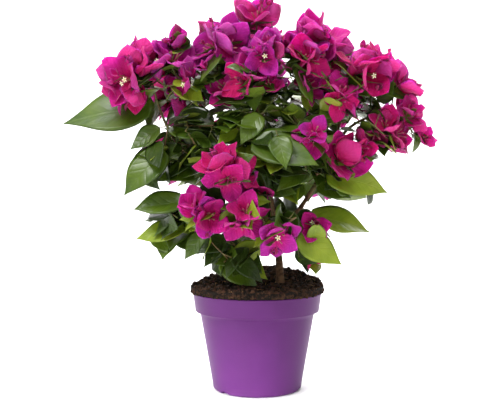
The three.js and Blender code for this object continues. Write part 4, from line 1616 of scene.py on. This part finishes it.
def outlying_blade(row: tuple[float, ...]) -> Blades:
    """The blade of a leaf that stands out of the crown: base, bearing, rise, lean and length.

    Args:
        row: those numbers.

    Returns:
        The blade.
    """
    x, y, z, bearing, rise, lean, length = row
    bearing, rise, lean = (math.radians(v) for v in (bearing, rise, lean))
    along = np.array((math.cos(rise) * math.cos(bearing), math.cos(rise) * math.sin(bearing), math.sin(rise)))
    face = np.array((0.0, -math.sin(lean), math.cos(lean)))
    base = np.array((x, y, z), dtype=float)
    return Blades.facing(base[None, None], along[None, None], face[None, None],
                         np.array(((length,),), dtype=float), LEAF)


@dataclass(frozen=True)
class TrioRule:
    """How the blossoms of one kind are drawn.

    Attributes:
        form: the bract's proportions.
        fill: greatest bract as a share of the tuft's radius.
        smallest: least bract as a share of the greatest.
        opens: least and greatest angle between bract and axis, degrees.
        pull: how strongly the axis turns out of the crown.
        spread: how strongly it turns a way of its own.
        lift: how strongly it turns up.
    """

    form: BladeForm
    fill: float
    smallest: float
    opens: Pair
    pull: float = 0.7
    spread: float = 0.6
    lift: float = 0.0

    def draws(self, tuft: Array, seed: int, attempt: Array) -> tuple[Array, Array, Blades]:
        """Seeded blossoms of a tuft: places in it, axes and three bracts each.

        Args:
            tuft: its place and radius.
            seed: its seed.
            attempt: numbers of the tries.

        Returns:
            Places, axes and bracts.
        """
        out = outwards(tuft[:3])
        toward = unit(roll_direction(seed, attempt, 3) + out)
        longest = min(self.form.longest, self.fill * tuft[3])
        size = longest * between(self.smallest, 1, seed, attempt, 6)
        depth = np.maximum(0, SPACE["reach"] * tuft[3] - size) * np.sqrt(roll(seed, attempt, 4))
        at = tuft[:3] + toward * depth[:, None]
        own = roll_direction(seed, attempt, 5) * self.spread
        axis = unit(toward + out * self.pull + own + UP * self.lift)
        opening = np.radians(between(*self.opens, seed, attempt, 7))
        turn = 2 * math.pi * roll(seed, attempt, 8)
        return at, axis, make_trios(at, axis, size, turn, opening, self.form)


FINE_LEAF_LENGTHS = (40, 82)


def leaf_draws(tuft: Array, seed: int, attempt: Array, shortest: float, longest: float
               ) -> tuple[Array, Array, Blades]:
    """Seeded leaves of a tuft: they lean outwards and a little down, and face up and out.

    Args:
        tuft: its place and radius.
        seed: its seed.
        attempt: numbers of the tries.
        shortest: least length.
        longest: greatest length.

    Returns:
        Places, ways and leaves.
    """
    out = outwards(tuft[:3])
    toward = roll_direction(seed, attempt, 9)
    middle = tuft[:3] + toward * (0.75 * tuft[3] * roll(seed, attempt, 10))[:, None]
    along = roll_direction(seed, attempt, 11) + out * 0.5 + toward * 0.5
    along[:, 2] = along[:, 2] * 0.5 - 0.25
    along = unit(along)
    face = roll_direction(seed, attempt, 12) * 0.5 + out * 0.9 + UP * 0.9
    length = np.minimum(1.6 * tuft[3], between(shortest, longest, seed, attempt, 13))
    at = middle - along * (length / 2)[:, None]
    blades = Blades.facing(at[:, None], along[:, None], face[:, None], length[:, None], LEAF)
    return at, along, blades


def draw_leaves(tuft: Array, seed: int, attempt: Array) -> tuple[Array, Array, Blades]:
    """The solids' leaves."""
    return leaf_draws(tuft, seed, attempt, LEAF.shortest, LEAF.longest)


def draw_fine_leaves(tuft: Array, seed: int, attempt: Array) -> tuple[Array, Array, Blades]:
    """Smaller leaves between the solids' ones."""
    return leaf_draws(tuft, seed, attempt, *FINE_LEAF_LENGTHS)


FINE_BRACT = BladeForm(0.94, 0.44, 0.3, 0.1, 36, 50, 10)
BUD_BRACT = BladeForm(0.62, 0.45, 0.34, 0.02, 7, 15, 4)
SOLID_TRIOS = TrioRule(BRACT, TRIO["fill"], TRIO["smallest"], TRIO["opens"])
FINE_TRIOS = TrioRule(FINE_BRACT, 1.15, 0.74, (18, 48), 0.35, 1.0, 0.3)
BUD_TRIOS = TrioRule(BUD_BRACT, TRIO["fill"], 0.5, (10, 30))


# ---------- blade surfaces
@dataclass(frozen=True)
class BladeGrid:
    """A closed thin blade: two skins on one grid that meet along the margin.

    Attributes:
        rows: steps from base to tip.
        columns: steps across.
        thickness: greatest distance between the skins, mm.
        base_power: power of the outline near the base; small is broad.
        tip_power: power of the outline near the tip; large is pointed.
        crease: half width of the rounding along the midrib, as a share of the length.
        waves: waves along each margin.
        ruffle: height of the margin's waves, as a share of the length.
        sway: sideways bend of the tip, as a share of the length.
        droop: extra fall towards the tip, as a share of the length.
        bulge: how far the middle bows out behind, as a share of the length.
        crumple: height of the papery dents, as a share of the length.
        fold_range: least and greatest fold, as a share of the form's fold.
        curl_range: least and greatest fall of the tip, as a share of the form's curl.
    """

    rows: int
    columns: int
    thickness: float
    base_power: float
    tip_power: float
    crease: float
    waves: float
    ruffle: float
    sway: float
    droop: float
    bulge: float
    crumple: float
    fold_range: Pair
    curl_range: Pair

    def grid(self) -> tuple[Array, Array, Array]:
        """Shares along, places across and skin sign of every vertex: base, tip, upper, lower.

        Returns:
            The three, one number a vertex.
        """
        u = np.arange(1, self.rows) / self.rows
        v = np.linspace(-1, 1, self.columns + 1)
        upper = np.meshgrid(u, v, indexing="ij")
        lower = np.meshgrid(u, v[1:-1], indexing="ij")
        along = np.concatenate(((0.0, 1.0), upper[0].ravel(), lower[0].ravel()))
        across = np.concatenate(((0.0, 0.0), upper[1].ravel(), lower[1].ravel()))
        skin = np.concatenate(((0.0, 0.0), np.where(np.abs(upper[1].ravel()) < 1, 1.0, 0.0),
                               np.full(lower[0].size, -1.0)))
        return along, across, skin

    def faces(self) -> tuple[Array, Array]:
        """Triangles of the upper skin, then of the lower one.

        Returns:
            Those of each skin.
        """
        wide, inner = self.columns + 1, self.columns - 1
        rows = np.arange(self.rows - 1)[:, None]
        upper = 2 + rows * wide + np.arange(wide)
        lower = upper.copy()
        lower[:, 1:-1] = 2 + (self.rows - 1) * wide + rows * inner + np.arange(inner)
        skins = []
        for net in (upper, lower):
            quads = np.stack((net[:-1, :-1], net[1:, :-1], net[1:, 1:], net[:-1, 1:]), axis=-1)
            base = np.stack((np.zeros(self.columns, dtype=int), net[0, :-1], net[0, 1:]), axis=-1)
            tip = np.stack((np.ones(self.columns, dtype=int), net[-1, 1:], net[-1, :-1]), axis=-1)
            skins.append(np.concatenate((split_quads(quads.reshape(-1, 4)), base, tip)))
        return skins[0], skins[1][:, ::-1]

    def dents(self, u: Array, v: Array, shape: Array, keys: Array) -> Array:
        """Soft dents of two sizes, each blade's own, that fade towards its base and tip.

        Args:
            u: shares along.
            v: shares across.
            shape: the outline's share there.
            keys: the blades' seeds.

        Returns:
            Heights, in lengths.
        """
        flat = np.stack((2.2 * u, 1.3 * v * shape), axis=-1)
        own = np.broadcast_to((keys % 997)[:, None, None] * 7.0, (len(keys), len(u), 1))
        places = np.concatenate((np.broadcast_to(flat, (len(keys), *flat.shape)), own), axis=-1)
        large = value_noise(places.reshape(-1, 3), 1.0, 51).reshape(len(keys), -1) - 0.5
        small = value_noise(places.reshape(-1, 3), 0.5, 52).reshape(len(keys), -1) - 0.5
        return self.crumple * (large + 0.5 * small) * np.sin(math.pi * u) ** 0.5 * 2

    def sheet(self, blades: Blades, keys: Array) -> tuple[Array, Array, Array]:
        """Points, triangles and pattern places of many blades.

        Half width is sin(pi * along^p) raised to a power that grows from base to tip. The rise is
        the fold, less the curl and the bulge, plus waves that grow towards the margin.

        Args:
            blades: one row for each blade.
            keys: a whole number for each, which seeds its own waves and bends.

        Returns:
            Points (n, 3) in millimetres, triangles and pattern places (n, 2).
        """
        u, v, skin = self.grid()
        form, length = blades.form, blades.length[:, None]
        p = math.log(0.5) / math.log(form.widest)
        power = self.base_power + (self.tip_power - self.base_power) * u
        shape = np.clip(np.sin(math.pi * u ** p), 0, 1) ** power
        across = v * shape * length * form.width / 2
        soft = self.crease * length
        fold = form.fold * between(*self.fold_range, keys, 41)[:, None]
        fold = fold * (np.sqrt(across ** 2 + soft ** 2) - soft)
        bend = form.curl * between(*self.curl_range, keys, 42)[:, None] * u * u
        hang = self.droop * between(-0.6, 1, keys, 43)[:, None] * np.clip(u - 0.5, 0, 1) ** 2 * 5
        hang = hang + self.bulge * between(0.2, 1.2, keys, 49)[:, None] * np.sin(math.pi * u)
        phase = 2 * math.pi * roll(keys, 44)[:, None] + np.where(v > 0, 1.9, 0.0)
        count = self.waves * between(0.7, 1.3, keys, 45)[:, None]
        wave = self.ruffle * between(0.4, 1.2, keys, 46)[:, None] * v * v * shape
        wave = wave * np.sin(2 * math.pi * count * u + phase)
        twist = between(-0.35, 0.35, keys, 47)[:, None] * u * across
        rise = fold + twist + (wave - bend - hang + self.dents(u, v, shape, keys)) * length
        rise = rise + skin * self.thickness / 2
        drift = self.sway * between(-1, 1, keys, 48)[:, None] * length * u * u
        points = (blades.base[:, None] + blades.a[:, None] * (length * u)[..., None]
                  + blades.b[:, None] * (across + drift)[..., None] + blades.n[:, None] * rise[..., None])
        uv = np.stack((np.broadcast_to(u + np.where(skin < 0, 2.0, 0.0), across.shape),
                       across / length + 0.5), axis=-1)
        upper, lower = self.faces()
        template = np.concatenate((upper, lower))
        faces = template[None] + (np.arange(len(keys)) * len(u))[:, None, None]
        return points.reshape(-1, 3), faces.reshape(-1, 3), uv.reshape(-1, 2)


LEAF_GRID = BladeGrid(14, 10, 0.5, 0.58, 1.25, 0.05, 1.2, 0.035, 0.08, 0.08, 0.0, 0.02, (0.2, 1.3),
                      (0.1, 1.5))
BRACT_GRID = BladeGrid(11, 10, 0.3, 0.46, 0.84, 0.16, 1.8, 0.085, 0.07, 0.05, 0.11, 0.08, (0.1, 1.7),
                       (-0.7, 1.1))
BUD_GRID = BladeGrid(5, 4, 0.4, 0.7, 1.0, 0.1, 1.0, 0.02, 0.02, 0.0, 0.1, 0.02, (0.4, 1.3), (0.1, 1.5))


# ---------- finishes
POT_FINISH = Finish("purple_plastic", linear(84, 37, 95), linear(89, 40, 101), 0.46, 0.00004, 14, 900, 0.14)
SOIL_FINISH = Finish("damp_compost", linear(32, 22, 15), linear(12, 9, 6), 0.95, 0.0014, 220, 900, 0.2)
CRUMB_FINISH = Finish("compost_crumbs", linear(66, 44, 30), linear(22, 16, 11), 0.95, 0.0006, 180, 1200, 0.2)
FIBRE_FINISH = Finish("coir_fibres", linear(150, 116, 78), linear(96, 70, 45), 0.85, 0.0001, 90, 900, 0.3)
BARK_FINISH = Finish("brown_bark", linear(112, 84, 60), linear(70, 50, 34), 0.88, 0.0006, 160, 700, 0.25)
YOUNG_BARK_FINISH = Finish("young_bark", linear(104, 92, 56), linear(82, 62, 40), 0.8, 0.0003, 120, 700, 0.3)
TWIG_FINISH = Finish("green_twigs", linear(86, 98, 42), linear(104, 80, 50), 0.6, 0.0001, 60, 700, 0.4)
STALK_FINISH = Finish("blossom_stalks", linear(110, 96, 52), linear(138, 52, 74), 0.6, 0.0001, 60, 700, 0.4)
TUBE_FINISH = Finish("flower_tubes", linear(186, 70, 120), linear(150, 110, 84), 0.6, 0.00005, 90, 900, 0.4)
STAR_FINISH = Finish("cream_stars", linear(246, 242, 214), linear(236, 232, 190), 0.6, 0.00005, 120, 900, 0.4)
EYE_FINISH = Finish("flower_eyes", linear(196, 190, 84), linear(170, 160, 60), 0.6, 0.00005, 200, 900, 0.4)


class Tint(Enum):
    """The colours that bracts and leaves are dealt."""

    PURPLE = "bracts_purple"
    MAGENTA = "bracts_magenta"
    PINK = "bracts_pink"
    WINE = "bracts_wine"
    DEEP = "leaves_deep"
    MID = "leaves_mid"
    LIME = "leaves_lime"


# Main colour, patches, lower skin and, on leaves, veins.
BLADE_COLOURS = {
    Tint.PURPLE: ((168, 30, 142), (150, 16, 118), (174, 58, 150)),
    Tint.MAGENTA: ((176, 18, 120), (162, 8, 98), (178, 46, 130)),
    Tint.PINK: ((186, 10, 98), (172, 5, 80), (184, 36, 110)),
    Tint.WINE: ((126, 16, 72), (96, 12, 52), (134, 34, 82)),
    Tint.DEEP: ((48, 66, 14), (33, 50, 10), (72, 92, 28), (66, 90, 30)),
    Tint.MID: ((76, 98, 18), (56, 80, 14), (98, 118, 38), (98, 122, 40)),
    Tint.LIME: ((140, 156, 40), (112, 134, 28), (146, 160, 58), (154, 170, 70)),
}


def blade_finish(tint: Tint) -> BladeFinish:
    """The finish of papery bracts, or of glossy leaves, of which the deep green gleam less.

    Args:
        tint: the blades' tint.

    Returns:
        The finish.
    """
    base, second, lower, *vein = [linear(*colour) for colour in BLADE_COLOURS[tint]]
    if not vein:
        # Bracts get a hot pink painted glow and shade at their bases, fading out towards the tips.
        return BladeFinish(tint.value, base, second, 0.66, 0.0003, 26, 600, 0.14, vein=second, lower=lower,
                           veins=6, slant=1.3, vein_share=0.25, painted_glow=linear(196, 5, 88), painted_glow_share=0.7,
                           sheen=0.12, glow=0.5)
    gloss = 0.3 if tint is Tint.DEEP else 0.42
    return BladeFinish(tint.value, base, second, 0.36, 0.00022, 30, 600, gloss, vein=vein[0], lower=lower,
                       veins=5.5, slant=1.1, vein_share=0.16)


# ---------- crown
@dataclass
class Crown:
    """All the masses, dressed: bracts, flowers, leaves, stalks and twigs.

    Attributes:
        framework: the limbs that carry it.
        open_share: share of blossoms that have an open flower.
        open_near: places where an open flower shows, mm.
        lime_leaves: outlying leaves that are young and yellow-green.
        shown_size: length of a blade as shown, as a share of its length in the growth rule.
        spray_size: how far sprays of one colour reach, mm.
        pinkness: from 0, a mass whose blossoms are mostly purple, to 1, mostly pink.
        tint_mix: weights of spray, own draw and mass in a blossom's tint.
        tint_steps: where purple ends and where magenta ends.
        wine_share: share of blossoms that are wine red.
        wine_buds: share of buds that are wine red.
        leaf_steps: where deep green ends and where mid green ends.
        twig_sides: sides of a twig.
        twig_bow: how far a twig sags, as a share of its length.
        stalk_bow: how far a stalk sags.
        stalk_radii: a stalk's radius at its start and end, mm.
        tube_length: least and greatest length of a flower's tube, as a share of its bract's.
        tube_steps: where a flower's tube has its rings, as shares of its length.
        tube_radii: its radius there, mm.
        masses: the grown masses.
    """

    framework: Framework
    open_share: float = 0.02
    open_near: tuple[Triple, ...] = (
        (-146, -60, 388), (-42, -120, 296), (135, -60, 445), (142, -60, 392))
    lime_leaves: tuple[int, ...] = (4, 11, 14, 15)
    shown_size: dict[Organ, float] = field(
        default_factory=lambda: {Organ.BLOSSOM: 1.16, Organ.FINE_BLOSSOM: 1.05, Organ.LEAF: 1.05})
    spray_size: float = 40.0
    pinkness: dict[str, float] = field(default_factory=lambda: {
        "left_blossom": 0.3, "top_blossom": 0.2, "right_blossom": 0.62, "far_right_blossom": 0.8,
        "front_blossom": 0.3, "low_right_spray": 0.3, "heart_foliage": 0.25, "right_foliage": 0.6})
    tint_mix: Triple = (0.4, 0.25, 0.35)
    tint_steps: Pair = (0.44, 0.56)
    wine_share: float = 0.08
    wine_buds: float = 0.7
    leaf_steps: Pair = (0.45, 0.85)
    twig_sides: int = 6
    twig_bow: float = 0.03
    stalk_bow: float = 0.06
    stalk_radii: Pair = (0.75, 0.6)
    tube_length: Pair = (0.34, 0.56)
    tube_steps: tuple[float, ...] = (0.0, 0.3, 0.62, 0.82, 0.95, 1.0)
    tube_radii: tuple[float, ...] = (0.55, 0.62, 0.8, 1.05, 0.85, 0.3)
    masses: list[Mass] = field(default_factory=list)

    def grow(self) -> None:
        """Grows every mass in turn."""
        spots = self.framework.spots()
        for number, name in enumerate(MASSES, start=1):
            mass = Mass(name, number, self.framework.boughs[name], spots)
            mass.grow(Finer())
            kinds = {organ.name.lower(): sum(item.organ is organ for item in mass.items) for organ in Organ}
            LOG.info("%s: %s, %d twigs", name, kinds, len(mass.twigs))
            self.masses.append(mass)

    def tint_of(self, name: str, item: Item) -> Tint:
        """The colour dealt to a blossom by its mass, spray and draw, or to a leaf by its draw.

        Args:
            name: the mass that bears the item.
            item: the blossom, bud or leaf.

        Returns:
            The colour of all its blades.
        """
        share = float(roll(*item.keys, 61))
        if item.organ is Organ.BUD:
            return Tint.WINE if share < self.wine_buds else Tint.MAGENTA
        if item.has_bracts:
            if share < self.wine_share:
                return Tint.WINE
            spray = float(value_noise(item.at[None], self.spray_size, 62)[0])
            by_spray, by_draw, by_mass = self.tint_mix
            mixed = by_spray * spray + by_draw * float(roll(*item.keys, 63))
            mixed = mixed + by_mass * self.pinkness.get(name, 0.5)
            purple, magenta = self.tint_steps
            return Tint.PURPLE if mixed < purple else Tint.MAGENTA if mixed < magenta else Tint.PINK
        if item.keys[0] == OUTLYING_KEY:
            return Tint.LIME if item.keys[1] in self.lime_leaves else Tint.MID
        if float(item.at[1]) > 0:
            return Tint.DEEP if share < 0.5 else Tint.MID
        deep, mid = self.leaf_steps
        return Tint.DEEP if share < deep else Tint.MID if share < mid else Tint.LIME

    def build_blades(self) -> None:
        """Makes the bracts and leaves, one piece for each tint."""
        sorted_items: dict[Tint, list[Item]] = {tint: [] for tint in Tint}
        for mass in self.masses:
            for item in mass.items:
                sorted_items[self.tint_of(mass.name, item)].append(item)
        for tint, items in sorted_items.items():
            by_organ = {organ: [item for item in items if item.organ is organ] for organ in Organ}
            parts = [self.blade_sheets(organ, mine) for organ, mine in by_organ.items() if mine]
            points, faces = join([part[:2] for part in parts])
            uv = np.concatenate([part[2] for part in parts])
            add_piece(tint.value, points * MM, faces, blade_finish(tint), EVERY_MASS, uv)

    def blade_sheets(self, organ: Organ, items: list[Item]) -> tuple[Array, Array, Array]:
        """Surfaces of all the blades of one organ.

        Args:
            organ: the organ.
            items: its items.

        Returns:
            Points, faces and coordinates.
        """
        base, a, n, length = (np.concatenate([getattr(item.blades, key) for item in items])
                              for key in ("base", "a", "n", "length"))
        keys = np.concatenate([item.keys[0] * 4096 + item.keys[1] * 4 + np.arange(len(item.blades.length))
                               for item in items])
        blades = Blades(base, a, n, length * self.shown_size.get(organ, 1.0), items[0].blades.form)
        if organ is Organ.BUD:
            return BUD_GRID.sheet(blades, keys)
        if organ in (Organ.LEAF, Organ.FINE_LEAF):
            return LEAF_GRID.sheet(blades, keys)
        return BRACT_GRID.sheet(blades, keys)

    def build_twigs(self) -> None:
        """Makes the twigs with a slight bow, and the stalks that end in a blade or blossom."""
        twigs = [twig for mass in self.masses for twig in mass.twigs]
        starts, ends = (np.array([twig[side] for twig in twigs]) for side in (0, 1))
        radii = [(max(first, 0.9) if first < 1 else first * 0.9, last * 0.85) for *_, first, last in twigs]
        points, faces = self.bowed(starts, ends, np.array(radii), self.twig_bow)
        add_piece("twigs", points * MM, faces, TWIG_FINISH, EVERY_MASS)
        for kind, finish, bracts in (("leaf_stalks", TWIG_FINISH, False),
                                     ("blossom_stalks", STALK_FINISH, True)):
            chosen = [item for mass in self.masses for item in mass.items if item.has_bracts == bracts]
            starts = np.array([item.start for item in chosen])
            ends = np.array([item.at + item.lead * 0.8 for item in chosen])
            radii = np.tile(self.stalk_radii, (len(chosen), 1))
            points, faces = self.bowed(starts, ends, radii, self.stalk_bow)
            add_piece(kind, points * MM, faces, finish, EVERY_MASS)

    def bowed(self, starts: Array, ends: Array, radii: Array, bow: float) -> Mesh:
        """Tubes between places that sag in the middle by a share of their length.

        Args:
            starts: where they start.
            ends: where they end.
            radii: two for each.
            bow: the share.

        Returns:
            Points and faces.
        """
        length = np.linalg.norm(ends - starts, axis=1)
        middle = (starts + ends) / 2 - UP * (length * bow)[:, None]
        steps = np.linspace(0, 1, 6)
        paths = bezier(np.stack((starts, middle, ends), axis=1), np.tile(steps, (len(starts), 1)))
        thick = radii[:, :1] + (radii[:, 1:] - radii[:, :1]) * steps
        return tubes(paths, thick, self.twig_sides)

    def build_flowers(self) -> None:
        """Makes the three small tubes in each blossom, with a star on those that are open."""
        blossoms = [item for mass in self.masses for item in mass.items
                    if item.organ in (Organ.BLOSSOM, Organ.FINE_BLOSSOM)]
        at = np.array([item.at for item in blossoms])
        axis = np.array([item.lead for item in blossoms])
        bract = np.array([item.blades.a for item in blossoms])
        size = np.array([item.blades.length[0] for item in blossoms])
        order = np.arange(len(blossoms))
        way = unit(axis[:, None] * 1.3 + bract + 0.35 * roll_direction(order[:, None], np.arange(3), 71))
        long = size[:, None] * between(*self.tube_length, order[:, None], np.arange(3), 72)
        opened = roll(order[:, None], np.arange(3), 73) < self.open_share
        for place in self.open_near:
            nearest = int(np.argmin(np.linalg.norm(at - np.array(place), axis=1)))
            opened[nearest, int(np.argmin(bract[nearest] @ -FRONT))] = True
        foot = at[:, None] + bract * 1.2
        steps = long[..., None] * np.array(self.tube_steps)
        paths = foot[:, :, None] + way[:, :, None] * steps[..., None]
        flat_paths = paths.reshape(-1, len(self.tube_steps), 3)
        points, faces = tubes(flat_paths, np.tile(self.tube_radii, (len(flat_paths), 1)), 6)
        add_piece("flower_tubes", points * MM, faces, TUBE_FINISH, EVERY_MASS)
        tips, ways = paths[:, :, -1][opened], way[opened]
        points, faces = self.stars(tips, ways)
        add_piece("flower_stars", points * MM, faces, STAR_FINISH, EVERY_MASS)
        spots = tips[:, None] + ways[:, None] * np.array((0.0, 0.5, 0.9))[:, None]
        points, faces = tubes(spots, np.tile((1.0, 1.1, 0.4), (len(tips), 1)), 8)
        add_piece("flower_eyes", points * MM, faces, EYE_FINISH, EVERY_MASS)

    def stars(self, tips: Array, ways: Array) -> Mesh:
        """Five-lobed stars across the tubes' mouths: radius 2.6 + 1.3 cos(5 turn), thin at the rim.

        Args:
            tips: the mouths' middles.
            ways: the tubes' ways.

        Returns:
            Points and faces.
        """
        turn = 2 * math.pi * np.arange(30) / 30
        lobed = 2.6 + 1.3 * np.cos(5 * turn)
        paths = tips[:, None] + ways[:, None] * np.array((-0.3, 0.1, 0.5))[:, None]
        radii = np.stack((0.5 + 0 * lobed, lobed, lobed * 0.82))
        return tubes(paths, np.broadcast_to(radii, (len(tips), 3, 30)), 30)

    def build(self) -> None:
        """Makes every kind in turn."""
        self.build_twigs()
        self.build_blades()
        self.build_flowers()


# ---------- stage
@dataclass(frozen=True)
class SoftLight:
    """A square soft light at a place, aimed at another. Metres, watts and degrees."""

    name: str
    at: Triple
    size: float
    power: float
    towards: Triple = (0.0, 0.0, 0.27)
    spread: float = 180.0

    def build(self) -> None:
        """Hangs the light and aims it."""
        data = bpy.data.lights.new(self.name, "AREA")
        data.spread = math.radians(self.spread)
        data.size, data.energy = self.size, self.power
        lamp = stand(self.name, data)
        lamp.location = self.at
        aim = Vector(self.towards) - Vector(self.at)
        lamp.rotation_mode = "QUATERNION"
        lamp.rotation_quaternion = aim.to_track_quat("-Z", "Y")


LIGHTS = (
    SoftLight("key", (-1.0, -1.05, 2.0), 0.8, 41.0),
    SoftLight("fill", (1.5, -1.2, 0.8), 1.2, 4.0),
    SoftLight("low", (-1.0, -1.0, 0.12), 0.5, 4.5, (-0.02, 0.0, 0.03)),
    SoftLight("foot", (-0.6, -1.0, 0.16), 0.1, 0.31, (-0.02, -0.06, -0.06), 18.0),
    SoftLight("top", (0.1, 0.2, 2.0), 1.2, 20.0),
    SoftLight("back", (0.6, 1.2, 1.3), 1.0, 14.0),
    SoftLight("backdrop", (0.0, 1.1, 2.3), 1.6, 80.0, (0.0, 2.3, 0.6)),
)


@dataclass(frozen=True)
class Stage:
    """A pale floor that sweeps up behind, soft lights and the camera. Metres and degrees."""

    camera_at: Triple = (-0.0095, -1.097, 0.268)
    pitch: float = 1.05
    lens: float = 60.0
    sensor: float = 36.0
    clip: Pair = (0.01, 20.0)
    floor_half: float = 3.0
    sweep_from: float = 1.4
    sweep_radius: float = 1.2
    wall_height: float = 2.6
    backdrop: float = 0.93
    sky: float = 0.49

    def floor(self) -> None:
        """A sheet from in front of the camera that curves up into a wall."""
        rise = np.linspace(0, math.pi / 2, 24)
        curve = np.stack((self.sweep_from + self.sweep_radius * np.sin(rise),
                          self.sweep_radius * (1 - np.cos(rise))), axis=1)
        top = (self.sweep_from + self.sweep_radius, self.wall_height)
        line = np.concatenate((((-self.floor_half, 0.0),), curve, (top,)))
        width = np.array((-self.floor_half, self.floor_half))
        x, y = np.meshgrid(width, line[:, 0], indexing="ij")
        z = np.broadcast_to(line[:, 1], x.shape)
        points = np.stack((x, y, z), axis=-1).reshape(-1, 3)
        step = np.arange(len(line) - 1)
        quads = np.stack((step, step + len(line), step + len(line) + 1, step + 1), axis=1)
        mesh = bpy.data.meshes.new("floor")
        mesh.from_pydata(points.tolist(), [], quads.tolist())
        mesh.polygons.foreach_set("use_smooth", np.ones(len(quads), dtype=bool))
        floor = stand("floor", mesh)
        pale = (self.backdrop, self.backdrop, self.backdrop, 1.0)
        mesh.materials.append(Finish("pale_floor", pale, pale, 0.9, 0.0, 5, 50, 0.1).material())

    def camera(self) -> None:
        """The camera, level but for a slight downward pitch."""
        data = bpy.data.cameras.new("camera")
        data.lens, data.sensor_width = self.lens, self.sensor
        data.clip_start, data.clip_end = self.clip
        camera = stand("camera", data)
        camera.location = self.camera_at
        camera.rotation_euler = (math.radians(90 - self.pitch), 0.0, 0.0)
        bpy.context.scene.camera = camera

    def build(self) -> None:
        """Sets the floor, the lights, the camera and how light becomes colour."""
        self.camera()
        self.floor()
        for light in LIGHTS:
            light.build()
        world = bpy.data.worlds.new("studio")
        world.use_nodes = True
        background = world.node_tree.nodes["Background"]
        background.inputs["Color"].default_value = (1.0, 1.0, 1.0, 1.0)
        background.inputs["Strength"].default_value = self.sky
        bpy.context.scene.world = world
        bpy.context.scene.view_settings.view_transform = "Standard"


POT = Pot()
SOIL = Soil()


def main() -> None:
    """Builds the stage, the pot, the soil, the limbs and the crown, and notes the sizes."""
    logging.basicConfig(level=logging.INFO, format="%(name)s %(message)s")
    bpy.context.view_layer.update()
    Stage().build()
    POT.build()
    SOIL.build()
    framework = Framework()
    framework.grow()
    framework.build()
    crown = Crown(framework)
    crown.grow()
    crown.build()


if __name__ == "__main__":
    main()
